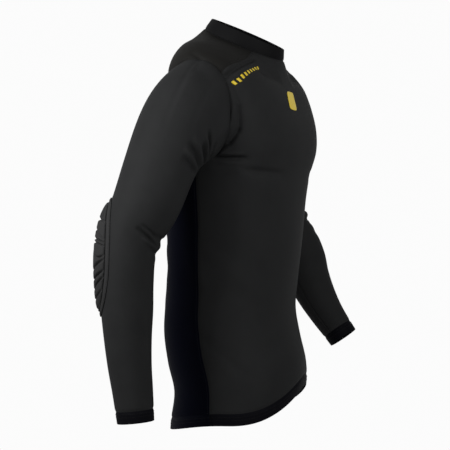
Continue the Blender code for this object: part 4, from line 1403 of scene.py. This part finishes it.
def printed(name, angle, row, ink):
    """A thin print on the front, over a grid of torso angles and rows."""
    points, outward = torso(angle, row)
    outer = points + outward * (PRINT_LIFT + PRINT_THICK)
    item = closed_cloth(name, outer, points + outward * PRINT_LIFT, ink)
    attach(item, BODY)


class SHIRT_OT_marks(bpy.types.Operator):
    """Make the plain printed marks on the front"""
    bl_idname = "shirt.marks"
    bl_label = "Printed marks"

    def execute(self, context):
        ink = print_material()
        line = np.array(BARS_LINE)
        fine = np.linspace(0, len(line) - 1, BARS_PLACES)
        knots = np.arange(len(line))
        angles, rows = np.interp(fine, knots, np.radians(line[:, 0])), np.interp(fine, knots, line[:, 1])
        gone = lengths_along(plain_torso(angles, rows), 0)
        step = 0.01
        for number in range(BARS):
            start = gone[-1] * number / BARS
            at = np.linspace(start, start + gone[-1] * BAR_SHARE / BARS, BAR_GRID[0])[:, None]
            up = np.linspace(-0.5, 0.5, BAR_GRID[1])[None, :] * BAR_HEIGHT
            angle, row = np.interp(at, gone, angles), np.interp(at, gone, rows)
            here = plain_torso(angle, row)
            by_angle = np.linalg.norm(plain_torso(angle + step, row) - here, axis=-1) / step
            by_row = np.linalg.norm(plain_torso(angle, row + step) - here, axis=-1) / step
            run_angle = (angles[-1] - angles[0]) * by_angle
            run_row = (rows[-1] - rows[0]) * by_row
            run = np.hypot(run_angle, run_row)
            bar_angle = angle - up * run_row / run / by_angle
            bar_row = row + up * run_angle / run / by_row
            printed(f"print_bar_{number + 1}", bar_angle, bar_row, ink)
        p = np.linspace(-1, 1, TAB_GRID[0])[:, None]
        q = np.linspace(-1, 1, TAB_GRID[1])[None, :]
        across = p * np.sqrt(1 - q**8 * TAB_ROUNDING[0])
        along = q * np.sqrt(1 - p**4 * TAB_ROUNDING[1])
        angle = np.radians(TAB_MIDDLE[0] + TAB_HALF_ANGLE * across - TAB_LEAN * along)
        printed("print_tab", angle, TAB_MIDDLE[1] + TAB_HALF_ROWS * along + 0 * across, ink)
        return {"FINISHED"}


# Stage

class SHIRT_OT_stage(bpy.types.Operator):
    """Make the floor, the lights and the camera"""
    bl_idname = "shirt.stage"
    bl_label = "Stage"

    def execute(self, context):
        settings = context.scene.shirt_stage
        azimuth = math.radians(CAMERA_AZIMUTH)
        ahead = Vector((-math.sin(azimuth), math.cos(azimuth), 0))
        right = Vector((math.cos(azimuth), math.sin(azimuth), 0))
        floor_z = CAD_LOW[2] - settings.floor_drop
        bpy.ops.object.select_all(action="DESELECT")
        bpy.ops.mesh.primitive_circle_add(
            vertices=FLOOR_SIDES, radius=settings.floor_radius, fill_type="NGON", location=(0, 0, floor_z))
        floor = context.object
        floor.name = "floor"
        bpy.ops.object.mode_set(mode="EDIT")
        bpy.ops.mesh.select_all(action="SELECT")
        bpy.ops.mesh.inset(thickness=settings.floor_radius * FLOOR_RIM)
        bpy.ops.mesh.select_all(action="DESELECT")
        bpy.ops.object.mode_set(mode="OBJECT")
        paint, _ = start_material("floor_paint", settings.colour, roughness=0.85, gloss=0.5)
        floor.data.materials.append(paint)
        for light in LIGHTS:
            add_light(*light)
        world = context.scene.world or bpy.data.worlds.new("studio")
        context.scene.world = world
        context.scene.view_settings.view_transform = "Standard"
        world.use_nodes = True
        backdrop = world.node_tree.nodes["Background"]
        backdrop.inputs["Color"].default_value = (1.0, 1.0, 1.0, 1.0)
        backdrop.inputs["Strength"].default_value = BACKDROP_LIGHT
        data = bpy.data.cameras.new("camera")
        data.lens = CAMERA_FOCAL
        data.sensor_width = 36.0
        camera = bpy.data.objects.new("camera", data)
        camera.location = right * CAMERA_SIDE - ahead * CAMERA_DISTANCE + Vector((0, 0, CAMERA_HEIGHT))
        camera.rotation_mode = "QUATERNION"
        camera.rotation_quaternion = ahead.to_track_quat("-Z", "Y")
        context.scene.collection.objects.link(camera)
        context.scene.camera = camera
        return {"FINISHED"}


def add_light(name, place, size, power):
    """A soft square light that faces the shirt."""
    data = bpy.data.lights.new(name, "AREA")
    data.size = size
    data.energy = power
    light = bpy.data.objects.new(name, data)
    light.location = place
    aim = Vector((0, 0, CAMERA_HEIGHT)) - Vector(place)
    light.rotation_mode = "QUATERNION"
    light.rotation_quaternion = aim.to_track_quat("-Z", "Y")
    bpy.context.scene.collection.objects.link(light)


class SHIRT_PT_pieces(bpy.types.Panel):
    """The shirt's pieces and settings"""
    bl_idname = "SHIRT_PT_pieces"
    bl_label = "Padded shirt"
    bl_space_type = "VIEW_3D"
    bl_region_type = "UI"
    bl_category = "Shirt"

    def draw(self, context):
        for piece in OPERATORS:
            self.layout.operator(piece.bl_idname)
        for name in SETTINGS:
            for key in getattr(context.scene, name).__annotations__:
                self.layout.prop(getattr(context.scene, name), key)


SETTINGS = {
    "shirt_cloth": ShirtCloth,
    "shirt_pads": ShirtPads,
    "shirt_sewing": ShirtSewing,
    "shirt_stage": ShirtStage,
}
OPERATORS = (
    SHIRT_OT_front, SHIRT_OT_back, SHIRT_OT_yoke, SHIRT_OT_hems, SHIRT_OT_collar,
    SHIRT_OT_sleeves, SHIRT_OT_cuffs, SHIRT_OT_elbow_pads, SHIRT_OT_pad_borders,
    SHIRT_OT_sewing, SHIRT_OT_marks, SHIRT_OT_stage,
)


def register():
    for kind in (*SETTINGS.values(), *OPERATORS, SHIRT_PT_pieces):
        bpy.utils.register_class(kind)
    for name, kind in SETTINGS.items():
        setattr(bpy.types.Scene, name, PointerProperty(type=kind))


def unregister():
    for name in SETTINGS:
        delattr(bpy.types.Scene, name)
    for kind in reversed((*SETTINGS.values(), *OPERATORS, SHIRT_PT_pieces)):
        bpy.utils.unregister_class(kind)


def main():
    """Build the whole shirt and its stage."""
    register()
    for piece in OPERATORS:
        group, name = piece.bl_idname.split(".")
        getattr(getattr(bpy.ops, group), name)()


if __name__ == "__main__":
    main()
